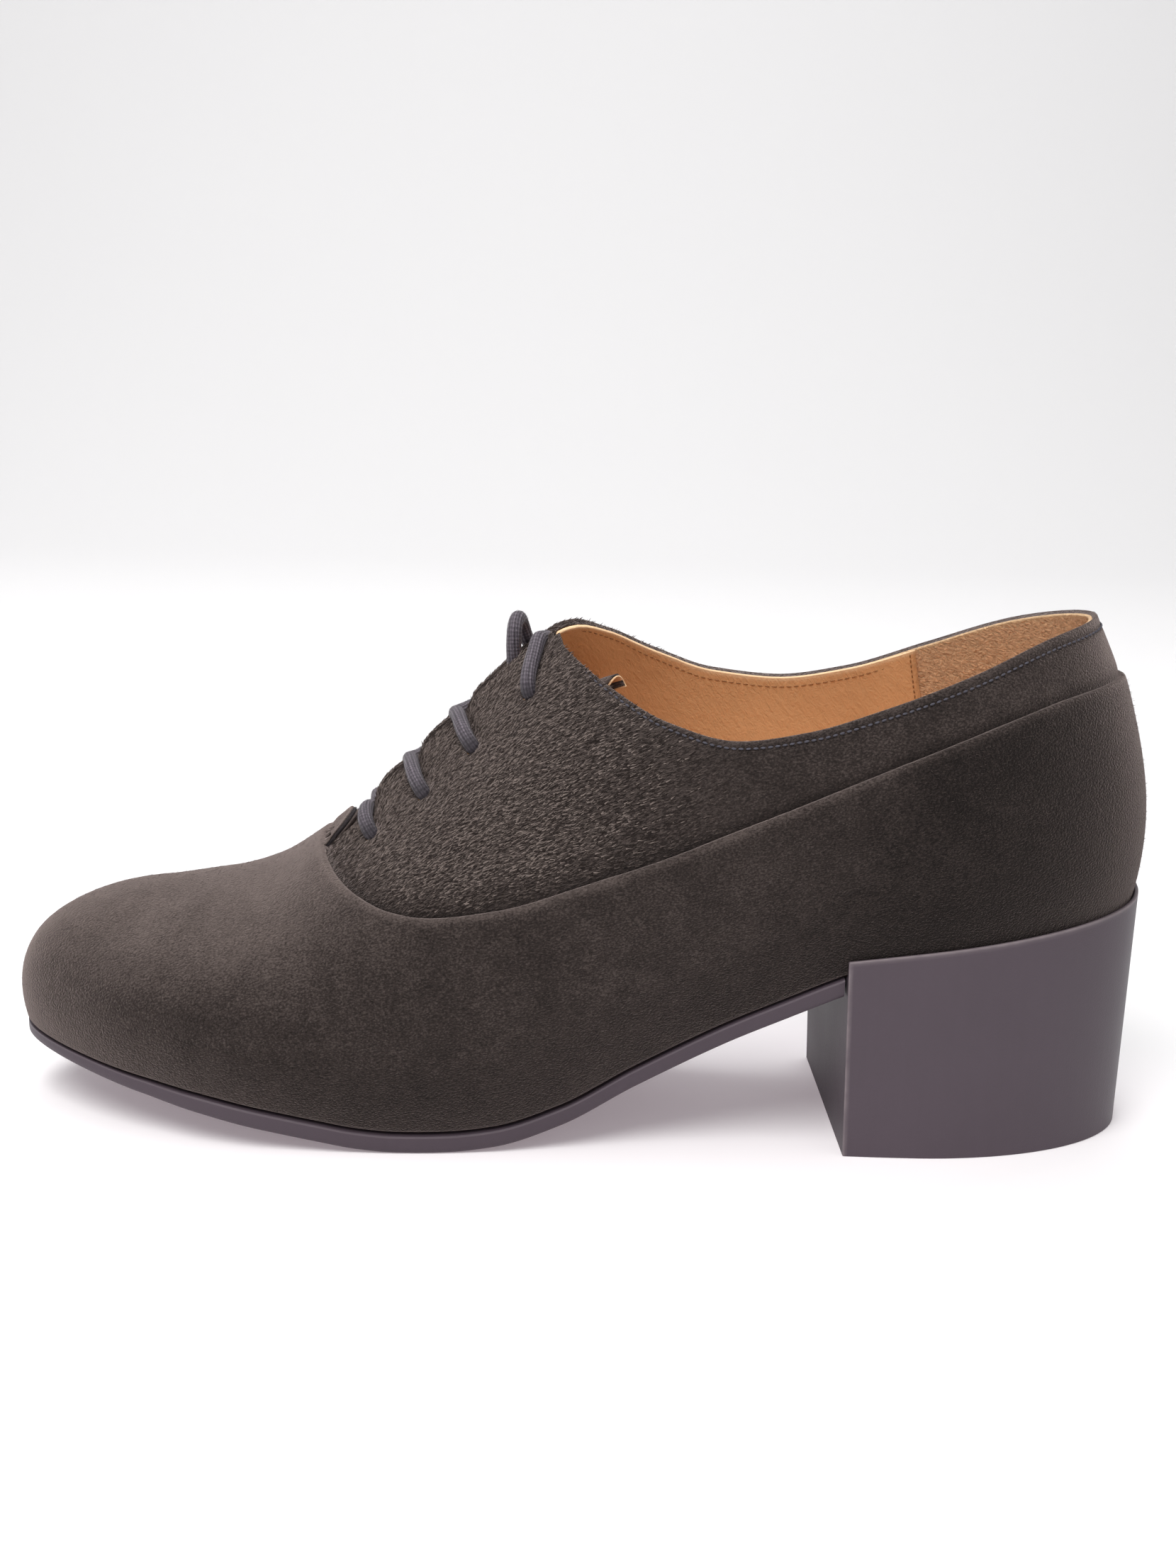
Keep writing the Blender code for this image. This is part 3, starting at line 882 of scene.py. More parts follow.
class Paint(Nodes):
    """Node tree of one material."""

    def __init__(self, name: str, **constants: Union[float, Colour]) -> None:
        """Start a material with a Principled shader whose even sockets are set directly.

        Args:
            name: the material's name.
            constants: values by the socket's name.
        """
        self.material = bpy.data.materials.new(name)
        self.material.use_nodes = True
        self.tree = self.material.node_tree
        self.shader = self.tree.nodes["Principled BSDF"]
        for key, value in constants.items():
            socket = self.shader.inputs[key.replace("_", " ").title().replace("Ior", "IOR")]
            socket.default_value = (*value, 1.0) if isinstance(value, tuple) else value

    def place(self) -> Wire:
        """Object coordinates."""
        return self.node("ShaderNodeTexCoord", {}, {}, "Object")

    def attribute(self, name: str) -> Wire:
        """A value kept on the piece's points."""
        return self.node("ShaderNodeAttribute", {"attribute_name": name}, {}, "Fac")

    def stretched(self, turn: Triple, size: Triple) -> Wire:
        """Object coordinates turned by degrees and counted in cells of a given size in millimetres.

        Args:
            turn: turn about each axis.
            size: cell along each axis.

        Returns:
            The coordinates.
        """
        turned = tuple(math.radians(a) for a in turn)
        cells = {"Vector": self.place(), "Rotation": turned, "Scale": tuple(s * MM for s in size)}
        return self.node("ShaderNodeMapping", {"vector_type": "TEXTURE"}, cells)

    def noise(self, where: Wire, scale: float, detail: float, rough: float, twist: float = 0.0) -> Wire:
        """Noise about zero, widened to run from about -1 to 1.

        Args:
            where: coordinates.
            scale: cells to a unit.
            detail: count of finer layers.
            rough: weight of the finer layers.
            twist: distortion.

        Returns:
            The noise.
        """
        grain = {"Vector": where, "Scale": scale, "Detail": detail, "Roughness": rough, "Distortion": twist}
        return (self.node("ShaderNodeTexNoise", {}, grain) - 0.5) * 3.0

    def long_noise(self, turn: Triple, size: Triple, detail: float, rough: float, twist: float = 0.0) -> Wire:
        """Noise with cells turned by degrees, of their own size in millimetres each way."""
        return self.noise(self.stretched(turn, size), 1.0, detail, rough, twist)

    def even_noise(self, size: float, detail: float, rough: float) -> Wire:
        """Noise with cells of one size in millimetres every way."""
        return self.noise(self.place(), 1.0 / (size * MM), detail, rough)

    def mix(self, first: Union[Colour, Wire], second: Union[Colour, Wire], share: Term) -> Wire:
        """Blend two colours.

        Args:
            first: a colour.
            second: a colour.
            share: share of the second.

        Returns:
            The blend.
        """
        blend = {"Factor_Float": share, "A_Color": first, "B_Color": second}
        return self.node("ShaderNodeMix", {"data_type": "RGBA", "clamp_factor": True}, blend, "Result_Color")

    def finish(self, colour: Wire, roughness: Term, height: Wire, depth: float) -> Material:
        """Wire up the shader.

        Args:
            colour: base colour.
            roughness: number or value for the roughness.
            height: relief about zero.
            depth: the relief's depth in millimetres.

        Returns:
            The material.
        """
        self.tree.links.new(colour.socket, self.shader.inputs["Base Color"])
        if isinstance(roughness, Wire):
            self.tree.links.new(roughness.socket, self.shader.inputs["Roughness"])
        else:
            self.shader.inputs["Roughness"].default_value = roughness
        relief = {"Strength": 1.0, "Distance": depth * MM, "Height": height}
        bump = self.node("ShaderNodeBump", {}, relief, "Normal")
        self.tree.links.new(bump.socket, self.shader.inputs["Normal"])
        return self.material


@dataclass(frozen=True)
class Suede:
    """Napped leather: fine even nap, with long slanting tufts where the piece's coarse value is high."""

    name: str = "suede"
    deep: Colour = (0.0060, 0.0045, 0.0041)
    middle: Colour = (0.0270, 0.0203, 0.0184)
    bright: Colour = (0.128, 0.101, 0.092)
    glow: Colour = (1.0, 0.82, 0.77)
    tuft: Triple = (1.2, 0.5, 0.34)
    slant: float = 24.0

    def material(self) -> Material:
        """Build the finish.

        Returns:
            The material.
        """
        paint = Paint(self.name, sheen_weight=0.5, sheen_roughness=0.42, sheen_tint=self.glow,
                      specular_ior_level=0.12)
        coarse = paint.attribute("coarse")
        # The rub value shifts the tone. Part of it is real rubbed nap and scuffs. Part is painted light: a
        # painted highlight on upward faces and folds, and painted shade low down, towards the heel, along
        # seams and round the lace holes.
        rub = paint.attribute("rub")
        tuft = paint.long_noise((0.0, -self.slant, 0.0), self.tuft, 2.0, 0.5, 0.5)
        grain = paint.long_noise((0.0, -12.0, 0.0), (0.55, 0.4, 0.36), 3.0, 0.6)
        cloud = paint.even_noise(15.0, 3.0, 0.6)
        patch = paint.even_noise(4.5, 2.0, 0.5)
        fleck = paint.even_noise(1.1, 1.0, 0.4).between(1.05, 1.35)
        fine = 1.0 - coarse
        nap = tuft * coarse * 0.7 + grain * (fine * 0.55 + 0.15)
        tone = nap + cloud * 0.14 + patch * (fine * 0.10 + 0.04) + rub * 0.34 + 0.5
        dark_to_middle = paint.mix(self.deep, self.middle, tone * 2.0)
        colour = paint.mix(dark_to_middle, self.bright, tone - 0.5)
        colour = paint.mix(colour, self.bright, fleck * fine * 0.4)
        relief = tuft * coarse + grain * (fine * 0.22 + 0.2)
        return paint.finish(colour, 0.95, relief, 0.34)


@dataclass(frozen=True)
class LiningLeather:
    """Smooth tan lining with fine pores and wrinkles, paler where its raw edge shows."""

    name: str = "lining_leather"
    shade: Colour = (0.52, 0.27, 0.12)
    face: Colour = (0.80, 0.455, 0.222)
    raw: Colour = (0.86, 0.58, 0.34)

    def material(self) -> Material:
        """Build the finish.

        Returns:
            The material.
        """
        paint = Paint(self.name, specular_ior_level=0.35)
        raw = paint.attribute("rub")
        cloud = paint.even_noise(22.0, 3.0, 0.55)
        pore = paint.even_noise(0.55, 2.0, 0.6)
        wrinkle = paint.long_noise((0.0, 55.0, 0.0), (5.0, 2.0, 1.1), 4.0, 0.6, 0.6)
        colour = paint.mix(self.shade, self.face, cloud * 0.22 + wrinkle * 0.10 + pore * 0.08 + 0.78)
        colour = paint.mix(colour, self.raw, raw)
        relief = pore * 0.3 + wrinkle * 0.7
        return paint.finish(colour, wrinkle * 0.05 + 0.46, relief, 0.14)


@dataclass(frozen=True)
class GripSuede:
    """Tan lining with its rough side out, behind the heel."""

    name: str = "grip_suede"
    shade: Colour = (0.34, 0.165, 0.080)
    face: Colour = (0.98, 0.62, 0.36)
    raw: Colour = (0.88, 0.58, 0.33)

    def material(self) -> Material:
        """Build the finish.

        Returns:
            The material.
        """
        paint = Paint(self.name, sheen_weight=0.12, specular_ior_level=0.15)
        raw = paint.attribute("rub")
        tuft = paint.long_noise((0.0, 20.0, 0.0), (1.3, 0.8, 0.6), 4.0, 0.65, 0.8)
        grain = paint.even_noise(0.6, 2.0, 0.6)
        colour = paint.mix(self.shade, self.face, tuft * 0.6 + grain * 0.25 + 0.8)
        colour = paint.mix(colour, self.raw, raw)
        return paint.finish(colour, 0.92, tuft * 0.75 + grain * 0.3, 0.6)


@dataclass(frozen=True)
class MouldedRubber:
    """Mauve-grey moulded sole and heel: satin, faintly streaked, paler on rubbed edges with a painted
    highlight, and darkened with painted shade where rub is below zero.
    """

    name: str = "sole_rubber"
    shade: Colour = (0.050, 0.0375, 0.046)
    face: Colour = (0.083, 0.0625, 0.078)
    rubbed_highlight: Colour = (0.24, 0.20, 0.21)
    painted_shade_tone: Colour = (0.046, 0.032, 0.042)

    def material(self) -> Material:
        """Build the finish.

        Returns:
            The material.
        """
        paint = Paint(self.name, specular_ior_level=0.3)
        rub = paint.attribute("rub")
        streak = paint.long_noise((0.0, 0.0, 0.0), (2.0, 2.0, 60.0), 3.0, 0.6)
        cloud = paint.even_noise(26.0, 3.0, 0.6)
        speck = paint.even_noise(0.35, 2.0, 0.5)
        nick = paint.even_noise(3.0, 2.0, 0.5)
        colour = paint.mix(self.shade, self.face, streak * 0.05 + cloud * 0.16 + speck * 0.05 + 0.78)
        # Rub above zero gives rubbed wear with a painted highlight. Rub below zero gives painted shade on the
        # heel's broad faces and the sole's edge.
        colour = paint.mix(colour, self.rubbed_highlight, rub * (nick * 0.25 + 0.8))
        colour = paint.mix(colour, self.painted_shade_tone, rub * -1.0)
        rough = cloud * 0.04 + speck * 0.03 + rub * -0.06 + 0.46
        return paint.finish(colour, rough, speck * 0.6 + streak * 0.25, 0.03)


@dataclass(frozen=True)
class LaceBraid:
    """Waxed round cord: fine ribs along it, crossed by a faint diagonal braid, darkened with painted shade by
    the holes.
    """

    name: str = "lace_cotton"
    shade: Colour = (0.020, 0.0165, 0.021)
    face: Colour = (0.108, 0.090, 0.110)
    worn: Colour = (0.27, 0.235, 0.265)
    ribs: float = 15.0
    braid_pitch: float = 1.5

    def material(self) -> Material:
        """Build the finish.

        Returns:
            The material.
        """
        paint = Paint(self.name, sheen_weight=0.12, sheen_roughness=0.4, specular_ior_level=0.3)
        lay = paint.node("ShaderNodeUVMap", {"uv_map": "lay"}, {})
        length = paint.node("ShaderNodeSeparateXYZ", {}, {"Vector": lay}, "X")
        round_ = paint.node("ShaderNodeSeparateXYZ", {}, {"Vector": lay}, "Y")
        turn = 2.0 * math.pi
        rib = ((round_ * self.ribs + length * 0.10) * turn).wave()
        left = ((round_ * 4.0 + length / self.braid_pitch) * turn).wave()
        right = ((round_ * 4.0 - length / self.braid_pitch) * turn).wave()
        weave = left * right
        fuzz = paint.even_noise(0.4, 2.0, 0.6)
        cloud = paint.even_noise(5.0, 2.0, 0.5)
        tone = rib * 0.22 + weave * 0.3 + fuzz * 0.36 + cloud * 0.1
        colour = paint.mix(self.shade, self.face, tone + 0.62)
        colour = paint.mix(colour, self.worn, tone - 0.1)
        # Painted shade: darker where the cord goes into a lace hole.
        colour = paint.mix(colour, self.shade, paint.attribute("hole") * 0.9)
        return paint.finish(colour, fuzz * 0.08 + 0.58, rib * 0.5 + weave * 0.4 + fuzz * 0.25, 0.12)


@dataclass(frozen=True)
class Thread:
    """Sewing thread, twisted and matte."""

    name: str
    face: Colour

    def material(self) -> Material:
        """Build the finish.

        Returns:
            The material.
        """
        paint = Paint(self.name, specular_ior_level=0.25)
        fibre = paint.even_noise(0.22, 2.0, 0.6)
        dim = tuple(0.45 * c for c in self.face)
        colour = paint.mix(dim, self.face, fibre * 0.35 + 0.7)
        return paint.finish(colour, 0.7, fibre, 0.05)


@dataclass(frozen=True)
class CutEdge:
    """Raw cut edge of suede: darker and felted."""

    name: str = "cut_edge"
    deep: Colour = (0.008, 0.006, 0.007)
    face: Colour = (0.040, 0.032, 0.034)

    def material(self) -> Material:
        """Build the finish.

        Returns:
            The material.
        """
        paint = Paint(self.name, sheen_weight=0.1, specular_ior_level=0.15)
        felt = paint.even_noise(0.7, 3.0, 0.6)
        colour = paint.mix(self.deep, self.face, felt * 0.4 + 0.55)
        return paint.finish(colour, 0.95, felt, 0.2)


@dataclass(frozen=True)
class StudioPaper:
    """Pale seamless floor, which glows faintly round the shoe so that its shadow stays light."""

    name: str = "studio_paper"
    face: Colour = (0.85, 0.845, 0.85)
    glow: Colour = (0.225, 0.190, 0.205)

    def material(self) -> Material:
        """Build the finish.

        Returns:
            The material.
        """
        paint = Paint(self.name, specular_ior_level=0.1, emission_strength=1.0)
        cloud = paint.even_noise(400.0, 2.0, 0.5)
        where = paint.stretched((0.0, 0.0, 0.0), (125.0, 60.0, 60.0))
        reach = paint.node("ShaderNodeVectorMath", {"operation": "LENGTH"}, {0: where}, "Value")
        glow = paint.mix(self.glow, (0.0, 0.0, 0.0), reach.between(0.75, 1.4))
        paint.tree.links.new(glow.socket, paint.shader.inputs["Emission Color"])
        dim = tuple(0.985 * c for c in self.face)
        return paint.finish(paint.mix(dim, self.face, cloud * 0.3 + 0.5), 0.8, cloud, 0.01)


class Finishes:
    """Every material of the shoe, made once."""

    def __init__(self) -> None:
        """Build them."""
        self.suede = Suede().material()
        self.cut_edge = CutEdge().material()
        self.lining = LiningLeather().material()
        self.grip = GripSuede().material()
        self.rubber = MouldedRubber().material()
        self.lace = LaceBraid().material()
        self.outer_thread = Thread("outer_thread", (0.088, 0.084, 0.104)).material()
        self.inner_thread = Thread("inner_thread", (0.40, 0.19, 0.08)).material()
        self.paper = StudioPaper().material()
        self.fibres = [self.fibre(name, shade) for name, shade in (
            ("fibre_pale", (0.190, 0.154, 0.138)), ("fibre_middle", (0.078, 0.0618, 0.0556)),
            ("fibre_dark", (0.020, 0.0150, 0.0135)))]
        self.lint = self.fibre("lint", (0.12, 0.108, 0.12))

    @staticmethod
    def fibre(name: str, shade: Colour) -> Material:
        """Even finish of loose suede fibres."""
        return Paint(name, base_color=shade, roughness=0.95, specular_ior_level=0.1, sheen_weight=0.4,
                     sheen_roughness=0.4, sheen_tint=(1.0, 0.82, 0.77)).material


def put_in_scene(name: str, data: bpy.types.ID) -> Piece:
    """Make an object of some data and link it to the scene.

    Args:
        name: the object's name.
        data: its mesh, camera or lamp.

    Returns:
        The object.
    """
    item = bpy.data.objects.new(name, data)
    bpy.context.scene.collection.objects.link(item)
    return item


def make_piece(name: str, points: Array, faces: Sequence[Sequence[int]], material: Material,
               values: Optional[Dict[str, Array]] = None, sharp: float = 50.0) -> Piece:
    """Make a mesh object from millimetre points.

    Args:
        name: the piece's name.
        points: points, of any grid shape.
        faces: corner numbers of each face.
        material: its finish.
        values: numbers kept on the points, by name.
        sharp: angle in degrees past which an edge is shaded sharp.

    Returns:
        The object, at the origin with its place in its mesh.
    """
    flat = to_metres(points.reshape(-1, 3))
    mesh = bpy.data.meshes.new(name)
    mesh.from_pydata(flat.tolist(), [], faces)
    for key, value in (values or {}).items():
        layer = mesh.attributes.new(key, "FLOAT", "POINT")
        spread = np.broadcast_to(value, points.shape[:-1]).reshape(-1)
        layer.data.foreach_set("value", spread.astype(np.float32))
    mesh.materials.append(material)
    mesh.shade_smooth()
    mesh.set_sharp_from_angle(angle=math.radians(sharp))
    return put_in_scene(name, mesh)


def weld(item: Piece, outwards: bool = False) -> None:
    """Merge a piece's doubled points and, where asked, point a closed piece's faces outwards.

    Args:
        item: the piece.
        outwards: whether to turn its faces.
    """
    shape = bmesh.new()
    shape.from_mesh(item.data)
    bmesh.ops.remove_doubles(shape, verts=shape.verts, dist=WELD * MM)
    if outwards:
        bmesh.ops.recalc_face_normals(shape, faces=shape.faces)
    shape.to_mesh(item.data)
    shape.free()


def settle(item: Piece) -> Piece:
    """Turn an object's modifiers into its plain mesh.

    Args:
        item: the piece.

    Returns:
        The same object.
    """
    graph = bpy.context.evaluated_depsgraph_get()
    mesh = bpy.data.meshes.new_from_object(item.evaluated_get(graph))
    old = item.data
    item.modifiers.clear()
    item.data = mesh
    bpy.data.meshes.remove(old)
    return item


def give_wall(item: Piece, thickness: float, edge: Optional[Material] = None) -> None:
    """Give an open skin a wall on its inner side.

    Args:
        item: the skin.
        thickness: the wall in millimetres.
        edge: finish of the cut edges, where it differs from the face's.
    """
    wall = item.modifiers.new("wall", "SOLIDIFY")
    wall.thickness = thickness * MM
    wall.offset = -1.0
    wall.use_rim = True
    if edge is not None:
        item.data.materials.append(edge)
        wall.material_offset_rim = 1
    settle(item)


def deliver(item: Piece, slot: str, *nodes: str) -> Piece:
    """Let a piece ride with the shoe, hide the solids that it stands for, and report it.

    Args:
        item: the piece.
        slot: not used.
        nodes: the solids.

    Returns:
        The piece.
    """
    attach(item, BODY)
    if nodes:
        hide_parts(*nodes)
    log.info("%s: %d faces", item.name, len(item.data.polygons))
    return item


@dataclass(frozen=True)
class StitchRow:
    """A row of lock stitches, set along a line by a node tree."""

    pitch: float = 1.7
    length: float = 1.35
    width: float = 0.46
    wander: float = 0.12
    seed: int = 7

    def rig(self) -> Rig:
        """Build the node tree: a short rounded stitch on every point, turned by its own directions.

        Returns:
            The tree.
        """
        rig = Rig("stitch_row", length="Float", width="Float", wander="Float", seed="Int", finish="Material")
        ball = rig.node("GeometryNodeMeshUVSphere", {}, {"Segments": 8, "Rings": 6, "Radius": 0.5}, "Mesh")
        width = rig.given("width")
        size = rig.node("ShaderNodeCombineXYZ", {}, {"X": rig.given("length"), "Y": width, "Z": width})
        stitch = rig.node("GeometryNodeTransform", {}, {"Geometry": ball, "Scale": size})
        straight, out = (rig.attribute(name, "FLOAT_VECTOR") for name in ("way", "out"))
        turn = rig.facing(rig.strayed(straight, 0.5, rig.given("wander"), rig.given("seed")), out)
        rig.plant(rig.given("Geometry"), stitch, turn, (1.0, 1.0, 1.0), True)
        return rig

    def sew(self, name: str, line: Array, out: Array, thread: Material, slot: str) -> None:
        """Sew along a line.

        Args:
            name: the piece's name.
            line: fine points of the seam in millimetres.
            out: direction out of the leather at each.
            thread: the thread's finish.
            slot: the slot's name, handed on to deliver.
        """
        length = run_along(line)
        place = np.arange(0.5 * self.pitch, length[-1], self.pitch)
        points, outs, ways = (
            np.stack([np.interp(place, length, values[:, k]) for k in range(3)], axis=1)
            for values in (line, out, np.gradient(line, axis=0))
        )
        item = make_piece(name, points, [], thread)
        for key, vectors in (("way", unit(ways)), ("out", unit(outs))):
            layer = item.data.attributes.new(key, "FLOAT_VECTOR", "POINT")
            layer.data.foreach_set("vector", vectors.reshape(-1).astype(np.float32))
        sizes = {"length": self.length * MM, "width": self.width * MM, "wander": self.wander}
        deliver(self.rig().run(item, seed=self.seed, finish=thread, **sizes), slot)


@dataclass(frozen=True)
class Nap:
    """Loose fibres of the suede, scattered over a skin by a node tree and combed one way."""

    growth: str = "grow"
    density: float = 2.5
    length: float = 1.1
    width: float = 0.31
    lean: float = 0.17
    stray: float = 0.26
    comb: Triple = (0.91, 0.0, 0.41)
    corners: int = 4

    def rig(self) -> Rig:
        """Build the node tree: a thin cone on every scattered point, laid along the comb's direction.

        Returns:
            The tree.
        """
        rig = Rig("nap", growth="String", density="Float", length="Float", width="Float", lean="Float",
                  stray="Float", comb="Vector", corners="Int", seed="Int", finish="Material")
        grow = rig.attribute(rig.given("growth"), "FLOAT")
        seed = rig.given("seed")
        scattered = {"Mesh": rig.given("Geometry"), "Density": grow * rig.given("density"), "Seed": seed}
        points = rig.node("GeometryNodeDistributePointsOnFaces", {}, scattered, "Points")
        normal = points.other("Normal")
        comb = rig.given("comb")
        upright = rig.vector("SCALE", normal, rig.vector("DOT_PRODUCT", comb, normal))
        flat = rig.vector("SUBTRACT", comb, upright)
        leaning = rig.vector("ADD", flat, rig.vector("SCALE", normal, rig.given("lean")))
        turn = rig.facing(rig.strayed(leaning, 1.0, rig.given("stray"), seed), normal)
        form = {"Vertices": rig.given("corners"), "Radius Top": 0.0, "Radius Bottom": 0.5, "Depth": 1.0}
        cone = rig.node("GeometryNodeMeshCone", {"fill_type": "NONE"}, form, "Mesh")
        width = rig.given("width")
        size = rig.node("ShaderNodeCombineXYZ", {}, {"X": width * 0.7, "Y": width, "Z": rig.given("length")})
        laid = {"Geometry": cone, "Rotation": (0.0, 0.5 * math.pi, 0.0), "Scale": size}
        tuft = rig.node("GeometryNodeTransform", {}, laid)
        sizes = {"Min_001": 0.6, "Max_001": 1.25, "Seed": seed + 1.0}
        scale = rig.node("FunctionNodeRandomValue", {"data_type": "FLOAT"}, sizes, "Value_001")
        rig.plant(points, tuft, turn, scale, False)
        return rig

    def grow(self, name: str, skin: Piece, seed: int, fibre: Material, slot: str = "suede") -> None:
        """Grow one tone of fibres, as one plain mesh.

        Args:
            name: the piece's name.
            skin: skin whose growth value says how thickly the fibres stand.
            seed: seed of the scatter.
            fibre: the fibres' finish.
            slot: the slot's name, handed on to deliver.
        """
        item = put_in_scene(name, skin.data.copy())
        item.data.materials.clear()
        sizes = {"length": self.length * MM, "width": self.width * MM, "lean": self.lean, "stray": self.stray}
        self.rig().run(item, growth=self.growth, density=self.density / MM ** 2, comb=self.comb,
                       corners=self.corners, seed=seed, finish=fibre, **sizes)
        deliver(item, slot)


FUZZ = Nap("fuzz", 0.6, 0.7, 0.09, 0.35, 0.55, (0.9, 0.0, 0.2), 3)
FRINGE = Nap("fringe", 12.0, 0.26, 0.08, 0.3, 0.5, (0.7, 0.0, 0.3), 3)
LINT = Nap("lint", 6.0, 0.4, 0.045, 0.5, 0.8, (0.5, 0.0, 0.5), 3)


@dataclass(frozen=True)
class LaceRow:
    """One crossing of the lace: its crest on the ridge, its holes and how deep it sinks at the crest."""

    crest_x: float
    along: float
    rise: float
    sink: float


@dataclass(frozen=True)
class Lace:
    """Round waxed lace: three bars through punched holes, and two ends that go over the collar's edge."""

    diameter: float = 3.3
    hole_radius: float = 1.9
    hole_shade: float = 2.3
    sides: int = 18
    rows: Tuple[LaceRow, ...] = (
        LaceRow(-48.4, 0.345, 0.765, 3.4),
        LaceRow(-38.6, 0.397, 0.763, 1.1),
        LaceRow(-28.4, 0.443, 0.780, 0.9),
    )
    top_hole: Tuple[float, float] = (0.496, 0.791)
    lateral_end: Tuple[Triple, ...] = (
        (-9.8, -3.8, 107.3),
        (-8.5, -0.6, 106.9),
        (-8.1, 0.6, 103.6),
        (-8.0, 0.8, 98.6),
    )
    medial_end: Tuple[Triple, ...] = (
        (-14.4, 7.2, 109.0),
        (-15.1, 4.6, 110.5),
        (-15.8, 2.1, 108.6),
        (-15.9, 1.4, 104.0),
        (-15.6, 1.6, 99.5),
    )
    bar_heights: Tuple[Tuple[float, float], ...] = (
        (0.12, 0.70), (0.26, 1.15), (0.45, 1.15), (0.65, 1.00), (0.85, 0.85), (1.00, 0.80),
    )
    end_heights: Tuple[Tuple[float, float], ...] = ((0.12, 0.75), (0.30, 1.25), (0.55, 1.25), (0.80, 1.25))
    inner_sink: float = 8.5
    inside_depth: float = 2.9
    hole_depth: float = 0.9
    end_depth: float = 5.2
    path_points: int = 33

    def hole_places(self) -> List[Tuple[Side, float, float]]:
        """Every hole's side, distance from the toe tip and rise."""
        holes = [(row.along, row.rise) for row in self.rows] + [self.top_hole]
        return [(side, *hole) for side in Side for hole in holes]

    def hole_points(self) -> Array:
        """Every hole's centre on the last."""
        return np.array([LAST.point(s.value * a, r) for s, a, r in self.hole_places()])

    def heights_of(self, row: LaceRow, side: Side) -> List[Tuple[float, float]]:
        """Shares of a bar's way to the crest and its height at each; the inner half lies lower.

        Args:
            row: the crossing.
            side: the half.

        Returns:
            Pairs of share and height.
        """
        extra = self.inner_sink if side is Side.MEDIAL else 0.0
        return [
            (share, height - row.sink * share ** 2 - extra * share * (1.0 - share))
            for share, height in self.bar_heights
        ]

    def through_hole(self, side: Side, along: float, rise: float, depth: float) -> List[Array]:
        """Points of the cord where it comes up through a hole from a given depth."""
        return [LAST.lifted(side.value * along, rise, -deep) for deep in (depth, self.hole_depth)]

    def leg(self, side: Side, start: Tuple[float, float], stop: Tuple[float, float],
            heights: Sequence[Tuple[float, float]]) -> List[Array]:
        """Points of the cord over the suede.

        Args:
            side: side of the foot.
            start: along and rise of the hole.
            stop: along and rise that it heads for.
            heights: shares of the way, with the cord's height over the last at each.

        Returns:
            The points, from the hole on.
        """
        points = []
        for share, height in heights:
            along = start[0] + (stop[0] - start[0]) * share
            rise = start[1] + (stop[1] - start[1]) * share
            points.append(LAST.lifted(side.value * along, rise, height))
        return points

    def bar_routes(self) -> List[Array]:
        """Centre line of each bar, from inside one hole to inside the other.

        Returns:
            The routes, lowest bar first.
        """
        routes = []
        for row in self.rows:
            crest = (LAST.along_of_crest(row.crest_x), 1.0)
            halves = []
            for side in Side:
                hole = (row.along, row.rise)
                inside = self.through_hole(side, *hole, self.inside_depth)
                halves.append(inside + self.leg(side, hole, crest, self.heights_of(row, side)))
            routes.append(smooth_route(halves[0] + halves[1][-2::-1]))
        return routes

    def end_route(self, side: Side) -> Array:
        """Centre line of one end: up through the top hole, over the collar's edge and down inside.

        Args:
            side: which end.

        Returns:
            The route.
        """
        over = self.lateral_end if side is Side.LATERAL else self.medial_end
        edge_along = LAST.along_of_crest(over[0][0])
        edge = (edge_along, float(LAST.top_edge(np.array([side.value * edge_along]))[0]))
        outside = self.leg(side, self.top_hole, edge, self.end_heights)
        inside = self.through_hole(side, *self.top_hole, self.end_depth)
        return smooth_route(inside + outside + [np.array(p) for p in over])

    def cord(self, name: str, route: Array, material: Material) -> Piece:
        """Sweep the cord along a route.

        Args:
            name: the piece's name.
            route: its centre line.
            material: its finish.

        Returns:
            The piece, with a map that runs along the cord in millimetres and once around it.
        """
        tangent = unit(np.gradient(route, axis=0))
        across = np.cross(tangent[0], (0.0, 0.0, 1.0))
        rings = []
        angle = 2.0 * np.pi * np.arange(self.sides) / self.sides
        for centre, way in zip(route, tangent):
            across = unit(across - way * np.dot(across, way))
            up = np.cross(way, across)
            circle = np.cos(angle)[:, None] * across + np.sin(angle)[:, None] * up
            rings.append(centre + 0.5 * self.diameter * circle)
        count, sides = len(route), self.sides
        points = np.array(rings)
        gap, _ = nearest(points, self.hole_points())
        # The hole value is painted shade on the cord by each lace hole.
        values = {"lint": 1.0, "hole": bell(gap, self.hole_shade)}
        item = make_piece(name, points, ring_faces(count, sides), material, values)
        length = run_along(route)
        lay = item.data.uv_layers.new(name="lay")
        for number, face in enumerate(item.data.polygons):
            i, j = divmod(number, sides)
            corners = ((i, j), (i, j + 1), (i + 1, j + 1), (i + 1, j)) if i < count - 1 else ()
            for loop, (ring, step) in zip(face.loop_indices, corners):
                lay.data[loop].uv = (length[ring], step / sides)
        return item

    def dressed(self, node: str, route: Array, seed: int, finishes: Finishes) -> Piece:
        """Make the cord that stands for one solid, with lint on it.

        Args:
            node: the solid's name.
            route: its centre line.
            seed: seed of its lint.
            finishes: the shoe's materials.

        Returns:
            The cord.
        """
        item = deliver(self.cord("cord_" + node, route, finishes.lace), "lace_cotton", node)
        LINT.grow("lint_" + node, item, seed, finishes.lint, "lace_cotton")
        return item

    def build(self, finishes: Finishes) -> None:
        """Make the bars and the ends.

        Args:
            finishes: the shoe's materials.
        """
        for number, route in enumerate(self.bar_routes(), start=1):
            self.dressed("lace_bar_%d" % number, route, 50 + number, finishes)
        for side in Side:
            route = self.end_route(side)
            item = self.dressed("lace_end_" + side.name.lower(), route, 55 + side.value, finishes)
            spread = np.linspace(0, len(route) - 1, self.path_points).round().astype(int)
            path = to_metres(route[spread])
            length = float(run_along(path)[-1])
            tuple(path[0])


LACE = Lace()


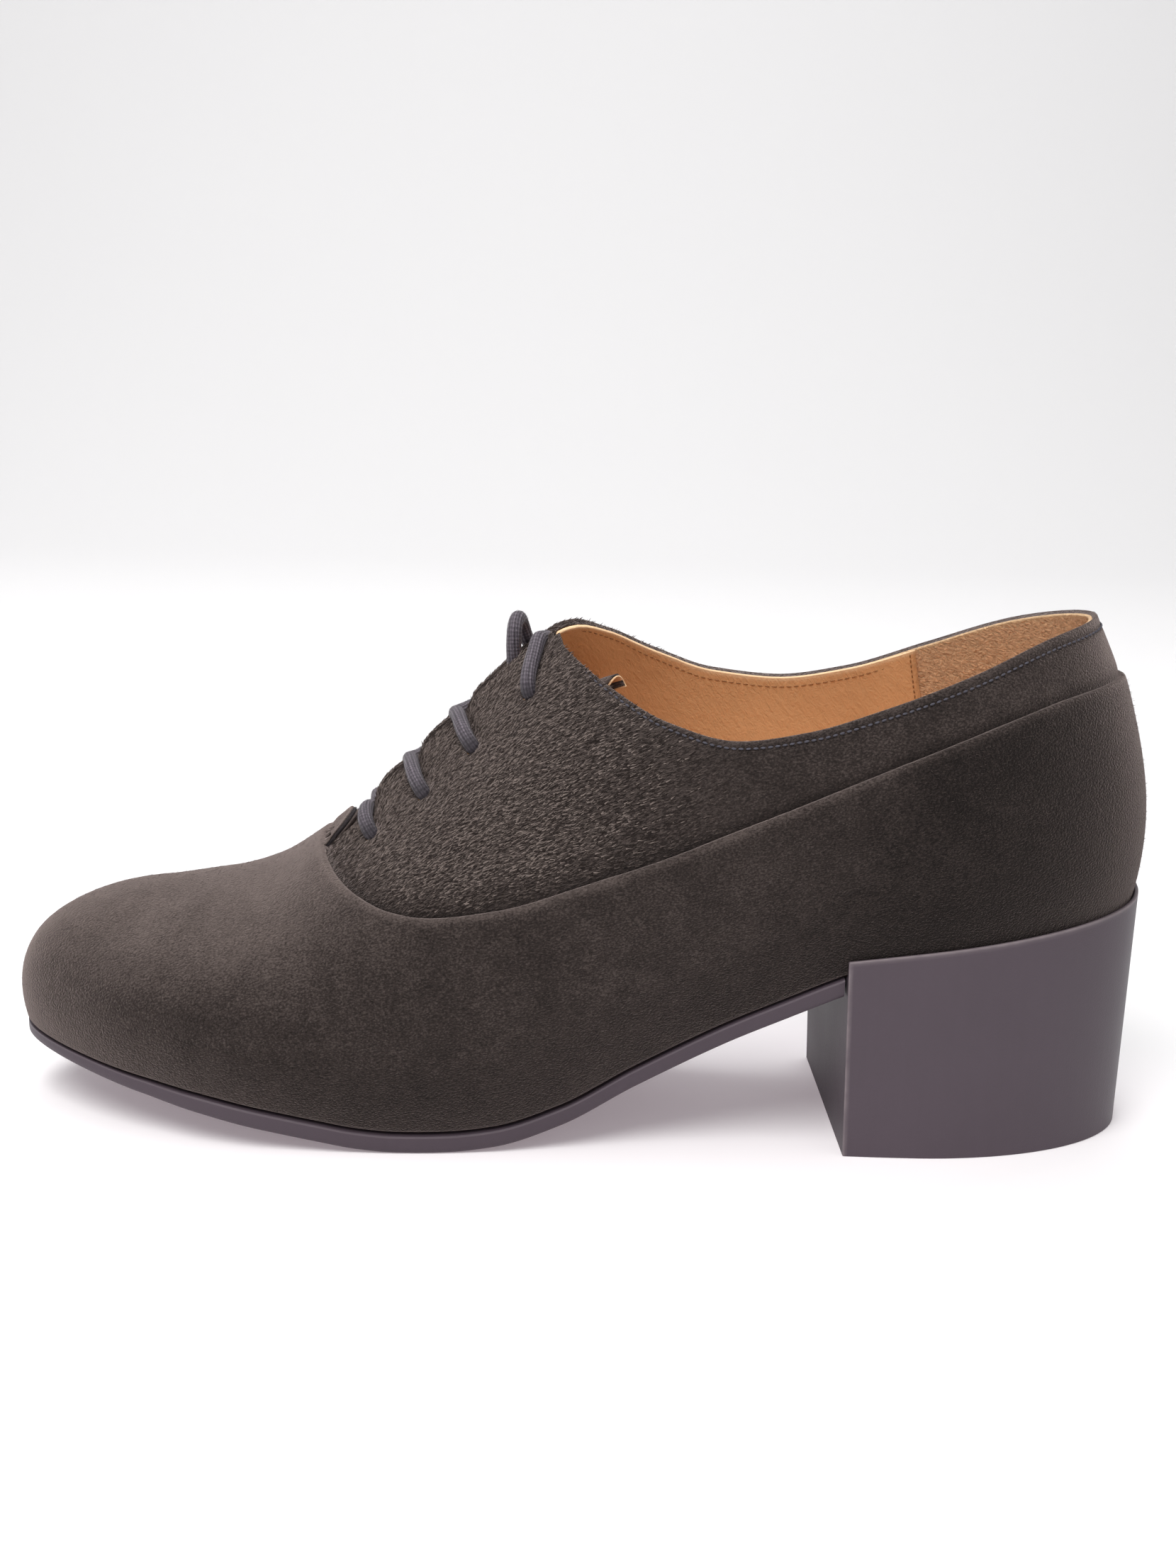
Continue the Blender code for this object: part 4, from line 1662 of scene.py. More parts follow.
@dataclass(frozen=True)
class Galosh:
    """The lower panel, which wraps the toe and runs low along both sides to the heel."""

    wall: float = 1.2
    proud: float = 0.95
    proud_fade: float = 13.0
    nose: float = 0.8
    tuck: float = 0.35
    flange: Tuple[float, float] = (3.5, 1.6)
    scuff: Triple = (109.6, -12.0, 90.4)
    turn_in: float = 0.9
    turn_in_height: float = 1.5
    ripple: float = 0.14
    painted_top_light: float = 1.45
    painted_shade_low: float = 1.0
    painted_shade_back: float = 1.3
    fold_reach: float = 0.85
    scuff_reach: float = 3.0
    scuff_rub: float = 0.35
    coarse: float = 0.06
    toe_columns: int = 105
    pitch: float = 1.05
    rows: int = 36
    foot_steps: Tuple[float, ...] = (0.0, 0.25, 0.6, 1.0, 1.5, 2.2)
    edge_steps: Tuple[float, ...] = (0.0, 0.12, 0.3, 0.55, 0.85, 1.2, 1.7, 2.4, 3.3)

    def half(self) -> Array:
        """Distances from the toe tip of the columns of one side.

        Returns:
            The distances.
        """
        start = LAST.seam_start()
        toe = np.linspace(0.0, start, self.toe_columns)
        fine = np.linspace(start, 1.0, 3000)
        side = even_columns(fine, LAST.galosh_edge(-fine), Side.LATERAL, self.pitch)
        return np.concatenate([toe, side[1:]])

    def edge_line(self) -> Array:
        """Fine points of its upper edge on both sides."""
        fine = np.linspace(LAST.seam_start(), 1.0, 4000)
        return np.vstack([LAST.point(s.value * fine, LAST.galosh_edge(s.value * fine)) for s in Side])

    def proud_at(self, gap: Array) -> Array:
        """Height of its face over the last at a distance from its upper edge."""
        return self.proud * bell(gap, self.proud_fade)

    def build(self, finishes: Finishes) -> None:
        """Make the panel with its folded upper edge and a foot turned in under the last.

        Args:
            finishes: the shoe's materials.
        """
        station = both_sides(self.half())
        high = LAST.galosh_edge(station)
        low = np.zeros_like(high)
        grid = Grid.between(station, low, high, self.foot_steps, self.edge_steps, self.rows)
        grid = grid.footed(len(self.flange))
        base = LAST.point(grid.station, grid.rise)
        gap, _ = nearest(base, self.edge_line())
        nose = np.sqrt(1.0 - (1.0 - np.clip(gap / self.nose, 0.0, 1.0)) ** 2)
        height = -self.tuck + (self.tuck + self.proud_at(gap)) * nose
        foot = 1.0 - np.clip(grid.above / self.turn_in_height, 0.0, 1.0)
        height = height - self.turn_in * (1.0 - np.sqrt(1.0 - foot ** 2))
        x, y, z = (base[..., k] for k in range(3))
        wave = np.sin(x / 9.0 + z / 14.0) * np.sin(z / 10.0 - x / 23.0 + y / 12.0)
        height = height + self.ripple * wave * smooth_step(2.0, 8.0, gap) * smooth_step(1.0, 6.0, grid.above)
        normal = LAST.normal(grid.station, grid.rise)
        points = base + normal * height[..., None]
        points[:, :len(self.flange)] -= LAST.outward(station)[:, None] * np.array(self.flange)[None, :, None]
        scuff, _ = nearest(base, np.array([self.scuff]))
        # Paler along the fold's top: rubbed nap with a painted highlight. The scuff by the heel is wear.
        rub = bell(gap - self.nose, self.fold_reach) + self.scuff_rub * bell(scuff, self.scuff_reach)
        # Painted highlight: paler on faces that look upwards.
        rub = rub + self.painted_top_light * smooth_step(0.25, 0.95, normal[..., 2])
        # Painted shade: darker low down by the sole and towards the heel's back.
        near_sole = smooth_step(26.0, 3.0, grid.above) * (0.4 + 0.6 * smooth_step(-85.0, -35.0, x))
        rub = rub - self.painted_shade_low * near_sole - self.painted_shade_back * smooth_step(35.0, 95.0, x)
        values = {"coarse": self.coarse, "rub": rub, "fuzz": smooth_step(1.0, 4.0, grid.above)}
        item = make_piece("galosh", points, grid.faces(), finishes.suede, values, 60.0)
        weld(item)
        FUZZ.grow("galosh_fuzz", item, 41, finishes.fibres[1])
        give_wall(item, self.wall)
        deliver(item, "suede")


GALOSH = Galosh()


@dataclass(frozen=True)
class Quarters:
    """The two quarters with their lacing facings, joined round the heel's back."""

    wall: float = 1.25
    front: float = 0.283
    lap: float = 0.07
    lap_drop: float = 0.55
    dip_reach: float = 2.3
    dip_most: float = 1.7
    swell: float = 0.45
    valley_depth: float = 0.3
    valley_reach: float = 1.6
    swell_reach: float = 9.0
    swell_clear: float = 3.6
    groove_depth: float = 0.28
    groove_width: float = 0.55
    edge_round: float = 0.9
    edge_drop: float = 0.3
    hole_clear: float = 2.6
    end_sink: float = 0.55
    end_stretch: Tuple[int, int] = (25, 85)
    coarse_from: float = 46.0
    coarse_to: float = 2.0
    lacing_end: float = 0.6
    lacing_pitch: float = 0.62
    collar_pitch: float = 1.0
    rows: int = 46
    foot_steps: Tuple[float, ...] = (0.0, 1.0, 2.0)
    edge_steps: Tuple[float, ...] = (0.0, 0.2, 0.5, 0.9, 1.4, 1.9, 2.4, 3.0)

    def stations(self) -> Array:
        """Columns from the inner facing's foot round the back to the outer facing's foot.

        Returns:
            The stations.
        """
        fine = np.linspace(self.front, 1.0, 4000)
        lacing = fine < self.lacing_end
        edge = np.minimum(LAST.top_edge(-fine), 1.0)
        along = np.concatenate([
            even_columns(fine[part], edge[part], Side.LATERAL, pitch)
            for part, pitch in ((lacing, self.lacing_pitch), (~lacing, self.collar_pitch))
        ])
        return round_back(along)

    def dips(self, base: Array, inset: Array) -> Array:
        """Height changes where the lace sinks into the facings and they swell between its rows.

        Args:
            base: places on the last.
            inset: their distances from the cut edge.

        Returns:
            Heights in millimetres.
        """
        floor, need = [], []
        for side in Side:
            for row in LACE.rows:
                crest = (LAST.along_of_crest(row.crest_x), 1.0)
                shares = np.linspace(0.0, 1.0, 60)
                heights = np.interp(shares, *zip(*LACE.heights_of(row, side)))
                floor += LACE.leg(side, (row.along, row.rise), crest, [(s, 0.0) for s in shares])
                need += list(np.minimum(0.5 * LACE.diameter - heights + 0.05, self.dip_most))
            stretch = LACE.end_route(side)[slice(*self.end_stretch)]
            floor += list(stretch)
            need += [self.end_sink] * len(stretch)
        gap, hit = nearest(base, np.array(floor))
        sink = np.array(need)[hit] * bell(gap, self.dip_reach)
        lacing = smooth_step(6.0, -4.0, base[..., 0]) * smooth_step(-53.0, -43.0, base[..., 0])
        swell = self.swell * bell(inset, self.swell_reach) * (1.0 - bell(gap, self.swell_clear))
        return swell * lacing - sink

    def build(self, finishes: Finishes) -> None:
        """Make the quarters' skin, grow its nap, give it its wall and punch the lace holes.

        Args:
            finishes: the shoe's materials.
        """
        station = self.stations()
        high = np.minimum(LAST.top_edge(station), 1.0)
        seam = LAST.galosh_edge(station)
        low = np.clip(seam - self.lap, 0.0, high - 0.06)
        low = np.where(LAST.split(station)[0] < LAST.seam_start(), np.minimum(low, 0.8), low)
        grid = Grid.between(station, low, high, self.foot_steps, self.edge_steps, self.rows)
        base = LAST.point(grid.station, grid.rise)
        under = seam[:, None] - grid.rise
        seam_gap, _ = nearest(base, GALOSH.edge_line())
        height = -self.lap_drop * smooth_step(0.0, 0.025, under)
        height = height - self.valley_depth * bell(seam_gap, self.valley_reach)
        height = height + self.dips(base, grid.below)
        height = height - throat_drop(base, grid.rise)
        edge = np.clip(grid.below / self.edge_round, 0.0, 1.0)
        height = height - self.edge_drop * (1.0 - np.sqrt(1.0 - (1.0 - edge) ** 2))
        collar = smooth_step(-8.0, 4.0, base[..., 0])
        groove = grid.below - SEWN.read("inset", LAST.split(station)[0])[:, None]
        height = height - collar * self.groove_depth * bell(groove, self.groove_width)
        points = base + LAST.normal(grid.station, grid.rise) * height[..., None]
        coarse = smooth_step(self.coarse_from, self.coarse_to, base[..., 0])
        hole_gap, _ = nearest(base, LACE.hole_points())
        clear = hole_gap > self.hole_clear
        # Near the galosh's seam, off_seam gives painted shade: a duller tone and fewer pale fibres.
        off_seam = smooth_step(0.0, 9.0, seam_gap)
        free = smooth_step(0.2, 1.0, grid.below) * smooth_step(0.5, 1.6, seam_gap) * (under < 0.0) * clear
        # Paler on the coarse nap away from the seam, and along the rolled collar edge, where rubbed nap has a
        # painted highlight.
        rub = 0.6 * coarse * off_seam + 0.8 * collar * bell(grid.below, 1.3)
        # Painted shade: darker in the valley by the galosh's seam and round the lace holes.
        rub = rub - 0.7 * bell(seam_gap, self.valley_reach) - 1.3 * bell(hole_gap, 2.5)
        values = {
            "coarse": GALOSH.coarse + (1.0 - GALOSH.coarse) * coarse,
            "rub": rub,
            "grow": smooth_step(34.0, 0.0, base[..., 0]) * free,
            "grow_pale": smooth_step(24.0, -16.0, base[..., 0]) * off_seam * free,
            "fringe": bell(grid.below, 0.4) * clear,
        }
        item = make_piece("quarters", points, grid.faces(), finishes.suede, values, 60.0)
        weld(item)
        for seed, (name, fibre) in enumerate(zip(("pale", "middle", "dark"), finishes.fibres), start=11):
            Nap("grow_pale" if name == "pale" else "grow").grow("nap_" + name, item, seed, fibre)
        FRINGE.grow("edge_fringe", item, 21, finishes.fibres[2])
        give_wall(item, self.wall)
        punch(item, LACE.hole_radius)
        deliver(item, "suede", "upper")


def punch(item: Piece, radius: float) -> None:
    """Punch the lace holes through a piece, with a radius in millimetres.

    Args:
        item: the piece.
        radius: the holes' radius.
    """
    shape = bmesh.new()
    for side, along, rise in LACE.hole_places():
        centre = to_metres(LAST.point(side.value * along, rise))
        turn = Vector(LAST.normal(side.value * along, rise)).to_track_quat("Z", "Y").to_matrix().to_4x4()
        bmesh.ops.create_cone(
            shape, cap_ends=True, segments=20, radius1=radius * MM, radius2=radius * MM,
            depth=9.0 * MM, matrix=Matrix.Translation(Vector(centre)) @ turn,
        )
    mesh = bpy.data.meshes.new("punches")
    shape.to_mesh(mesh)
    shape.free()
    cutter = put_in_scene("punches", mesh)
    cut = item.modifiers.new("holes", "BOOLEAN")
    cut.operation = "DIFFERENCE"
    cut.object = cutter
    settle(item)
    bpy.data.objects.remove(cutter)


@dataclass(frozen=True)
class Lining:
    """Tan lining: smooth from the toe to the heel grip, then rough side out behind the heel."""

    depth: float = 1.3
    wall: float = 0.75
    grip_from: float = 0.815
    grip_lap: float = 0.03
    over_grip: float = 0.35
    toe_room: float = 1.2
    hole_radius: float = 1.55
    edge_drop: float = 0.35

    def skin(self, name: str, station: Array, depth: Array, material: Material) -> Piece:
        """Make one lining piece.

        Args:
            name: the piece's name.
            station: its columns.
            depth: how far inside the last its outer side lies at each column.
            material: its finish.

        Returns:
            The piece, with its wall.
        """
        high = np.minimum(LAST.top_edge(station), 1.0)
        low = np.zeros_like(high) + 0.01
        grid = Grid.between(station, low, high, (0.0, 2.0), (0.0, 0.25, 0.6, 1.0, 1.5, 2.2, 3.2), 26)
        base = LAST.point(grid.station, grid.rise)
        normal = LAST.normal(grid.station, grid.rise)
        down = unit(LAST.point(grid.station, np.maximum(grid.rise - 0.01, 0.0)) - base)
        cut = (high < 0.9995)[:, None]
        open_edge = cut * np.exp(-grid.below / 3.0)
        deep = depth[:, None] + throat_drop(base, grid.rise)
        points = base - normal * deep[..., None] + down * (self.edge_drop * open_edge)[..., None]
        raw = cut * smooth_step(1.25, 0.55, grid.below)
        item = make_piece(name, points, grid.faces(), material, {"rub": raw}, 40.0)
        weld(item)
        give_wall(item, self.wall)
        return item

    def build(self, finishes: Finishes) -> None:
        """Make the smooth lining and the heel grip.

        Args:
            finishes: the shoe's materials.
        """
        fine = np.linspace(0.0, self.grip_from, 170)
        station = both_sides(fine)
        along = np.abs(station)
        extra = self.toe_room * smooth_step(0.33, 0.27, along)
        extra = extra + self.over_grip * smooth_step(self.grip_from - 0.035, self.grip_from - 0.01, along)
        smooth = self.skin("lining", station, self.depth + extra, finishes.lining)
        punch(smooth, self.hole_radius)
        deliver(smooth, "lining_leather")
        back = np.linspace(self.grip_from - self.grip_lap, 1.0, 60)
        station = round_back(back)
        depth = np.full(len(station), self.depth - 0.02)
        deliver(self.skin("heel_grip", station, depth, finishes.grip), "lining_leather")


LINING = Lining()


@dataclass(frozen=True)
class Tongue:
    """Tongue under the facings: suede over a tan lining, with a free tip that leans back into the collar."""

    depth: float = 3.1
    wall: float = 0.5
    lining_wall: float = 0.35
    roll: float = 2.0
    slant: float = 2.2
    first: float = 0.27
    last: float = 0.46
    rows: int = 60
    tip_rows: int = 34
    columns: int = 30
    hole_press: float = 0.8
    hole_reach: float = 4.0
    reach: ClassVar[Table] = Table("along reach", (0.27, 11.0), (0.33, 15.0), (0.46, 17.0))
    tip: ClassVar[Table] = Table(
        "back up width",
        (0.0, 0.0, 1.0),
        (7.0, 0.9, 0.85),
        (14.0, 1.6, 0.58),
        (20.0, 2.4, 0.34),
        (24.0, 4.4, 0.26),
        (26.6, 5.2, 0.25),
    )

    def sheet(self, depth: float) -> Array:
        """Points of one layer.

        Args:
            depth: how far inside the last it lies.

        Returns:
            The points by column and row, pressed down where the lace comes through.
        """
        along = np.linspace(self.first, self.last, self.rows)
        across = np.linspace(-1.0, 1.0, 2 * self.columns + 1)
        station = along[None, :] * np.where(across < 0.0, -1.0, 1.0)[:, None]
        half_width = self.reach.read("reach", along)[None, :] * np.abs(across)[:, None]
        rise = LAST.rise_off_crest(station, half_width)
        base = LAST.point(station, rise)
        gap, _ = nearest(base, LACE.hole_points())
        height = -depth - self.hole_press * bell(gap, self.hole_reach) - throat_drop(base, rise)
        points = base + LAST.normal(station, rise) * height[..., None]
        back = np.linspace(0.0, self.tip.key[-1], self.tip_rows)[1:]
        section = points[:, -1]
        middle = section[self.columns]
        shift = np.stack([back, 0.0 * back, self.tip.read("up", back)], axis=1)
        flat = (section - middle)[:, None] * self.tip.read("width", back)[None, :, None]
        turn = np.sign(flat[..., 1]) * np.linalg.norm(flat, axis=-1) / self.roll
        rolled = np.stack([self.slant * across[:, None] + 0.0 * turn, self.roll * np.sin(turn),
                           self.roll * (np.cos(turn) - 1.0)], axis=-1)
        share = smooth_step(10.0, 22.0, back)[None, :, None]
        free = middle + flat * (1.0 - share) + rolled * share + shift[None]
        return np.concatenate([points, free], axis=1)

    def build(self, finishes: Finishes) -> None:
        """Make both layers.

        Args:
            finishes: the shoe's materials.
        """
        points = self.sheet(self.depth)
        columns, rows = points.shape[:2]
        faces = grid_faces(columns, rows)
        # The rub of 1.4 paints the tongue's suede paler all over, a painted highlight for its upward face.
        item = make_piece("tongue_suede", points, faces, finishes.suede, {"coarse": 0.5, "rub": 1.4}, 60.0)
        give_wall(item, self.wall, finishes.cut_edge)
        deliver(item, "suede", "tongue")
        raw = smooth_step(rows - 3.0, rows - 1.0, np.arange(rows))[None, :] + np.zeros((columns, 1))
        points = self.sheet(self.depth + self.wall + 0.02)
        item = make_piece("tongue_lining", points, faces, finishes.lining, {"rub": raw}, 40.0)
        give_wall(item, self.lining_wall)
        deliver(item, "lining_leather")


@dataclass(frozen=True)
class ThroatTab:
    """Raw-edged peak of the vamp over the foot of the throat."""

    front_x: float = -63.0
    tip_x: float = -50.6
    half_width: float = 8.8
    sweep: float = 4.9
    columns: int = 28
    lift: float = 1.7
    lift_reach: float = 1.1
    dip: float = 1.6
    sink: float = 0.4
    skim: float = 0.05
    layers: ClassVar[Dict[str, Tuple[float, float]]] = {
        "throat_peak": (0.0, 0.35), "throat_core": (0.36, 0.8), "throat_back": (1.17, 0.55),
    }

    def build(self, finishes: Finishes) -> None:
        """Make the tab's layers, one with the vamp in front and standing off the facings behind.

        Args:
            finishes: the shoe's materials.
        """
        even = np.linspace(self.front_x, self.tip_x - 4.0, 16)
        crest = np.concatenate([even, np.linspace(self.tip_x - 3.6, self.tip_x, 13)])
        across = np.linspace(-1.0, 1.0, 2 * self.columns + 1)
        station = np.array([[LAST.along_of_crest(x - self.sweep * a * a) for x in crest] for a in across])
        station = station * np.where(across < 0.0, -1.0, 1.0)[:, None]
        rise = LAST.rise_off_crest(station, self.half_width * np.abs(across)[:, None] + 0.0 * station)
        gap, _ = nearest(LAST.point(station, rise), GALOSH.edge_line())
        gap = np.where(rise > LAST.galosh_edge(station), 0.0, gap)
        crown = ((1.0 - across ** 2) ** 0.45)[:, None]
        lift = self.lift * np.exp((crest - self.tip_x) / self.lift_reach)
        lift = (lift - self.dip * smooth_step(self.front_x + 2.0, self.tip_x - 3.0, crest))[None, :] * crown
        fade = smooth_step(self.front_x + 4.0, self.front_x, crest)[None, :]
        fade = fade + smooth_step(0.8, 1.0, np.abs(across))[:, None]
        points = LAST.lifted(station, rise, GALOSH.proud_at(gap) + self.skim + lift - self.sink * fade)
        back = np.exp((crest - self.tip_x) / 0.7)[None, :] + 0.0 * station
        # The tab shares the galosh's painted highlight on upward faces and is paler towards its tip.
        values = {"coarse": 0.08 + 0.0 * back, "rub": GALOSH.painted_top_light + 1.2 * back}
        normal = LAST.normal(station, rise)
        for name, (depth, wall) in self.layers.items():
            face = finishes.cut_edge if name == "throat_core" else finishes.suede
            layer = points - normal * depth
            item = make_piece(name, layer, grid_faces(*station.shape), face, values, 50.0)
            give_wall(item, wall)
            deliver(item, "suede", *(("throat_tab",) if depth == 0.0 else ()))


@dataclass(frozen=True)
class Sock:
    """Sock leather on the inner sole."""

    inset: float = 2.2
    gap: float = 0.5
    thickness: float = 2.0
    stations: int = 150
    width_points: int = 24

    def build(self, finishes: Finishes) -> None:
        """Make the sock, slightly dished under the foot.

        Args:
            finishes: the shoe's materials.
        """
        along = np.linspace(0.012, 0.988, self.stations)
        lateral = LAST.feather(-along) - LAST.outward(-along) * self.inset
        medial = LAST.feather(along) - LAST.outward(along) * self.inset
        share = 0.5 - 0.5 * np.cos(np.pi * np.linspace(0.0, 1.0, self.width_points))
        top = lateral[:, None] + (medial - lateral)[:, None] * share[None, :, None]
        low = LAST.sole_top(LAST.feather(-along)[:, 0]) + self.gap
        lip = np.sqrt(np.clip(1.0 - (2.0 * share - 1.0) ** 40, 0.0, 1.0))
        dish = 0.35 * np.sin(np.pi * share) ** 2
        top[..., 2] = low[:, None] + 0.2 + (self.thickness - 0.2) * lip[None, :] - dish[None, :]
        under = top.copy()
        under[..., 2] = low[:, None]
        rings = np.concatenate([top, under[:, ::-1]], axis=1)
        item = make_piece("sock", rings, ring_faces(*rings.shape[:2]), finishes.lining, {"rub": 0.0}, 60.0)
        deliver(item, "lining_leather", "insole")


@dataclass(frozen=True)
class Outsole:
    """Thin moulded sole with a rounded edge and a fine lip along its top."""

    stations: int = 190
    start: float = 0.004
    lip_painted_highlight: float = 0.75
    side_painted_shade: float = 0.35
    edge: ClassVar[Table] = Table(
        "height inset",
        (0.00, 0.95), (0.03, 0.55), (0.10, 0.22), (0.24, 0.05), (0.45, 0.0), (0.70, 0.02), (0.84, 0.08),
        (0.90, 0.0), (0.96, 0.06), (1.00, 0.35),
    )

    def build(self, finishes: Finishes) -> None:
        """Make the sole from the toe tip to the heel's breast.

        Args:
            finishes: the shoe's materials.
        """
        end = LAST.along_of_feather(LAST.breast_x - LAST.fit_gap)
        along = self.start + (end - self.start) * np.linspace(0.0, 1.0, self.stations)
        proud = SOLE_MARGIN.read("proud", along)[:, None]
        lateral = LAST.feather(-along) + LAST.outward(-along) * proud
        medial = LAST.feather(along) + LAST.outward(along) * proud
        x = LAST.feather(-along)[:, 0]
        low, high = SOLE_BOTTOM.read("z", x), LAST.sole_top(x)
        inward = unit(medial - lateral)
        width = np.linalg.norm(medial - lateral, axis=1)
        share = self.edge.key
        inset = np.minimum(self.edge.read("inset", share)[None, :], 0.3 * width[:, None])
        climb = low[:, None] + (high - low)[:, None] * share[None, :]
        near = lateral[:, None] + inward[:, None] * inset[..., None]
        far = medial[:, None] - inward[:, None] * inset[..., None]
        near[..., 2] = climb
        far[..., 2] = climb
        rings = np.concatenate([near, far[:, ::-1]], axis=1)
        # Painted highlight along the lip. The rest of the sole's edge gets painted shade.
        lip = bell(share - 0.92, 0.05)
        rub = self.lip_painted_highlight * np.concatenate([lip, lip[::-1]])[None, :] - self.side_painted_shade
        faces = ring_faces(*rings.shape[:2])
        item = make_piece("sole_edge", rings, faces, finishes.rubber, {"rub": rub}, 60.0)
        weld(item, outwards=True)
        deliver(item, "sole_rubber", "outsole")


@dataclass(frozen=True)
class HeelBlock:
    """Moulded block heel: D plan, flat breast, thin cup rim round the seat."""

    breast_slope: float = 0.028
    rim_width: float = 0.9
    foot_margin: float = 1.6
    edge_round: float = 0.32
    sharp: float = 35.0
    shear_reach: float = 20.0
    edge_rub_highlight_reach: float = 0.5
    corner_steps: Triple = (0.0, 0.002, 0.0045)
    corner_end: float = 0.009
    columns: int = 88
    levels: int = 9

    def build(self, finishes: Finishes) -> None:
        """Make the heel with fine rounded edges.

        Args:
            finishes: the shoe's materials.
        """
        front = LAST.along_of_feather(LAST.breast_x)
        corner = front + np.array(self.corner_steps)
        along = np.concatenate([corner, np.linspace(front + self.corner_end, 1.0, self.columns)])
        station = np.concatenate([-along, along[-2::-1]])
        out = LAST.outward(station)
        seat = LAST.feather(station) + out * LAST.fit_gap
        seat[:, 2] -= LAST.fit_gap
        rim_z = seat[:, 2] + RIM.read("rise", np.abs(station))
        rise = LAST.rise_where(station, lambda p: p[..., 2] - rim_z)
        lip = LAST.point(station, rise) + out * LAST.fit_gap
        rim = lip + out * self.rim_width
        foot = seat + out * (self.foot_margin - LAST.fit_gap)
        foot[:, 2] = 0.0
        shares = [0.0, 0.013, 0.027, *np.linspace(0.07, 0.93, self.levels), 0.973, 0.987, 1.0]
        rings = np.array([foot + (rim - foot) * share for share in shares] + [lip, seat])
        near = np.clip(1.0 - (rings[..., 0] - LAST.breast_x) / self.shear_reach, 0.0, 1.0)
        rings[..., 0] += self.breast_slope * (rim[:, 2] - rings[..., 2]) * near
        for corner in (0, -1):
            rings[:, corner, 0] = LAST.breast_x + self.breast_slope * (rim[corner, 2] - rings[:, corner, 2])
        rows, count = rings.shape[:2]
        faces = grid_faces(rows, count)
        faces.append(tuple(range(count)))
        faces.append(tuple(range((rows - 1) * count, rows * count)))
        starts = [r * count for r in range(rows)]
        faces.append(tuple(starts + [s + count - 1 for s in reversed(starts)]))
        item = make_piece("heel_block", rings, faces, finishes.rubber, None, self.sharp)
        weld(item, outwards=True)
        soften = item.modifiers.new("edges", "BEVEL")
        soften.width = self.edge_round * MM
        soften.segments = 3
        soften.limit_method = "ANGLE"
        soften.angle_limit = math.radians(self.sharp)
        soften.harden_normals = True
        settle(item)
        self.mark_rub_highlight_and_shade(item, rings)
        deliver(item, "sole_rubber", "heel")

    def mark_rub_highlight_and_shade(self, item: Piece, rings: Array) -> None:
        """Mark the rim and the breast's upright edges pale, as rubbed wear with a painted highlight, and the
        broad flat faces dark with painted shade.

        Args:
            item: the heel.
            rings: points of its levels.
        """
        top = rings[-3]
        climb = np.linspace(0.0, 1.0, 60)[:, None]
        upright = np.concatenate([rings[0, c] + (top[c] - rings[0, c]) * climb for c in (0, -1)])
        fine = np.concatenate([top[:-1] + (top[1:] - top[:-1]) * t for t in np.linspace(0.0, 1.0, 6)])
        points = to_millimetres(np.array([v.co for v in item.data.vertices]))
        gap, _ = nearest(points, np.vstack([upright, fine]))
        rub = bell(gap, self.edge_rub_highlight_reach)
        layer = item.data.attributes.new("rub", "FLOAT", "CORNER")
        for face in item.data.polygons:
            # Broad faces, the breast among them, take painted shade. Points near the edges take rubbed wear
            # with a painted highlight.
            broad = len(face.vertices) > 8
            for loop, point in zip(face.loop_indices, face.vertices):
                layer.data[loop].value = -1.0 if broad else rub[point]


@dataclass(frozen=True)
class Seams:
    """Visible sewing: the topline's row, seen outside and inside, and the heel grip's row."""

    inside_inset: float = 2.6
    corner: float = 0.535

    def inset_line(self, station: Array, inset: Amount, height: float) -> Tuple[Array, Array]:
        """Line at a distance below the top edge.

        Args:
            station: stations of the line's fine points.
            inset: distance below the edge.
            height: height over the last, negative inside.

        Returns:
            The line's points and the directions out of the leather.
        """
        high = np.minimum(LAST.top_edge(station), 1.0)
        step = 0.02
        run = np.linalg.norm(LAST.point(station, high) - LAST.point(station, high - step), axis=-1)
        rise = high - step * inset / run
        out = LAST.normal(station, rise)
        return LAST.point(station, rise) + out * height, out if height > -0.6 else -out

    def build(self, finishes: Finishes) -> None:
        """Sew every row.

        Args:
            finishes: the shoe's materials.
        """
        along = np.linspace(self.corner, 1.0, 900)
        around = round_back(along)
        line, out = self.inset_line(around, SEWN.read("inset", LAST.split(around)[0]), -0.02)
        row = StitchRow(pitch=1.5, length=1.15, width=0.5)
        row.sew("topline_stitches", line, out, finishes.outer_thread, "suede")
        depth = LINING.depth + LINING.wall
        thread, slot = finishes.inner_thread, "lining_leather"
        for side in Side:
            name = side.name.lower()
            lined = np.linspace(self.corner, LINING.grip_from, 700)
            line, out = self.inset_line(side.value * lined, self.inside_inset, -depth - 0.02)
            row = StitchRow(length=1.25, width=0.32)
            row.sew("lining_stitches_" + name, line, out, thread, slot)
            rise = np.linspace(0.08, 0.97, 300) * np.minimum(LAST.top_edge(np.array([LINING.grip_from])), 1.0)
            station = np.full_like(rise, side.value * (LINING.grip_from - 0.004))
            normal = LAST.normal(station, rise)
            line = LAST.point(station, rise) - normal * (depth + LINING.over_grip + 0.04)
            row = StitchRow(pitch=1.3, length=1.0, width=0.36)
            row.sew("grip_stitches_" + name, line, -normal, thread, slot)


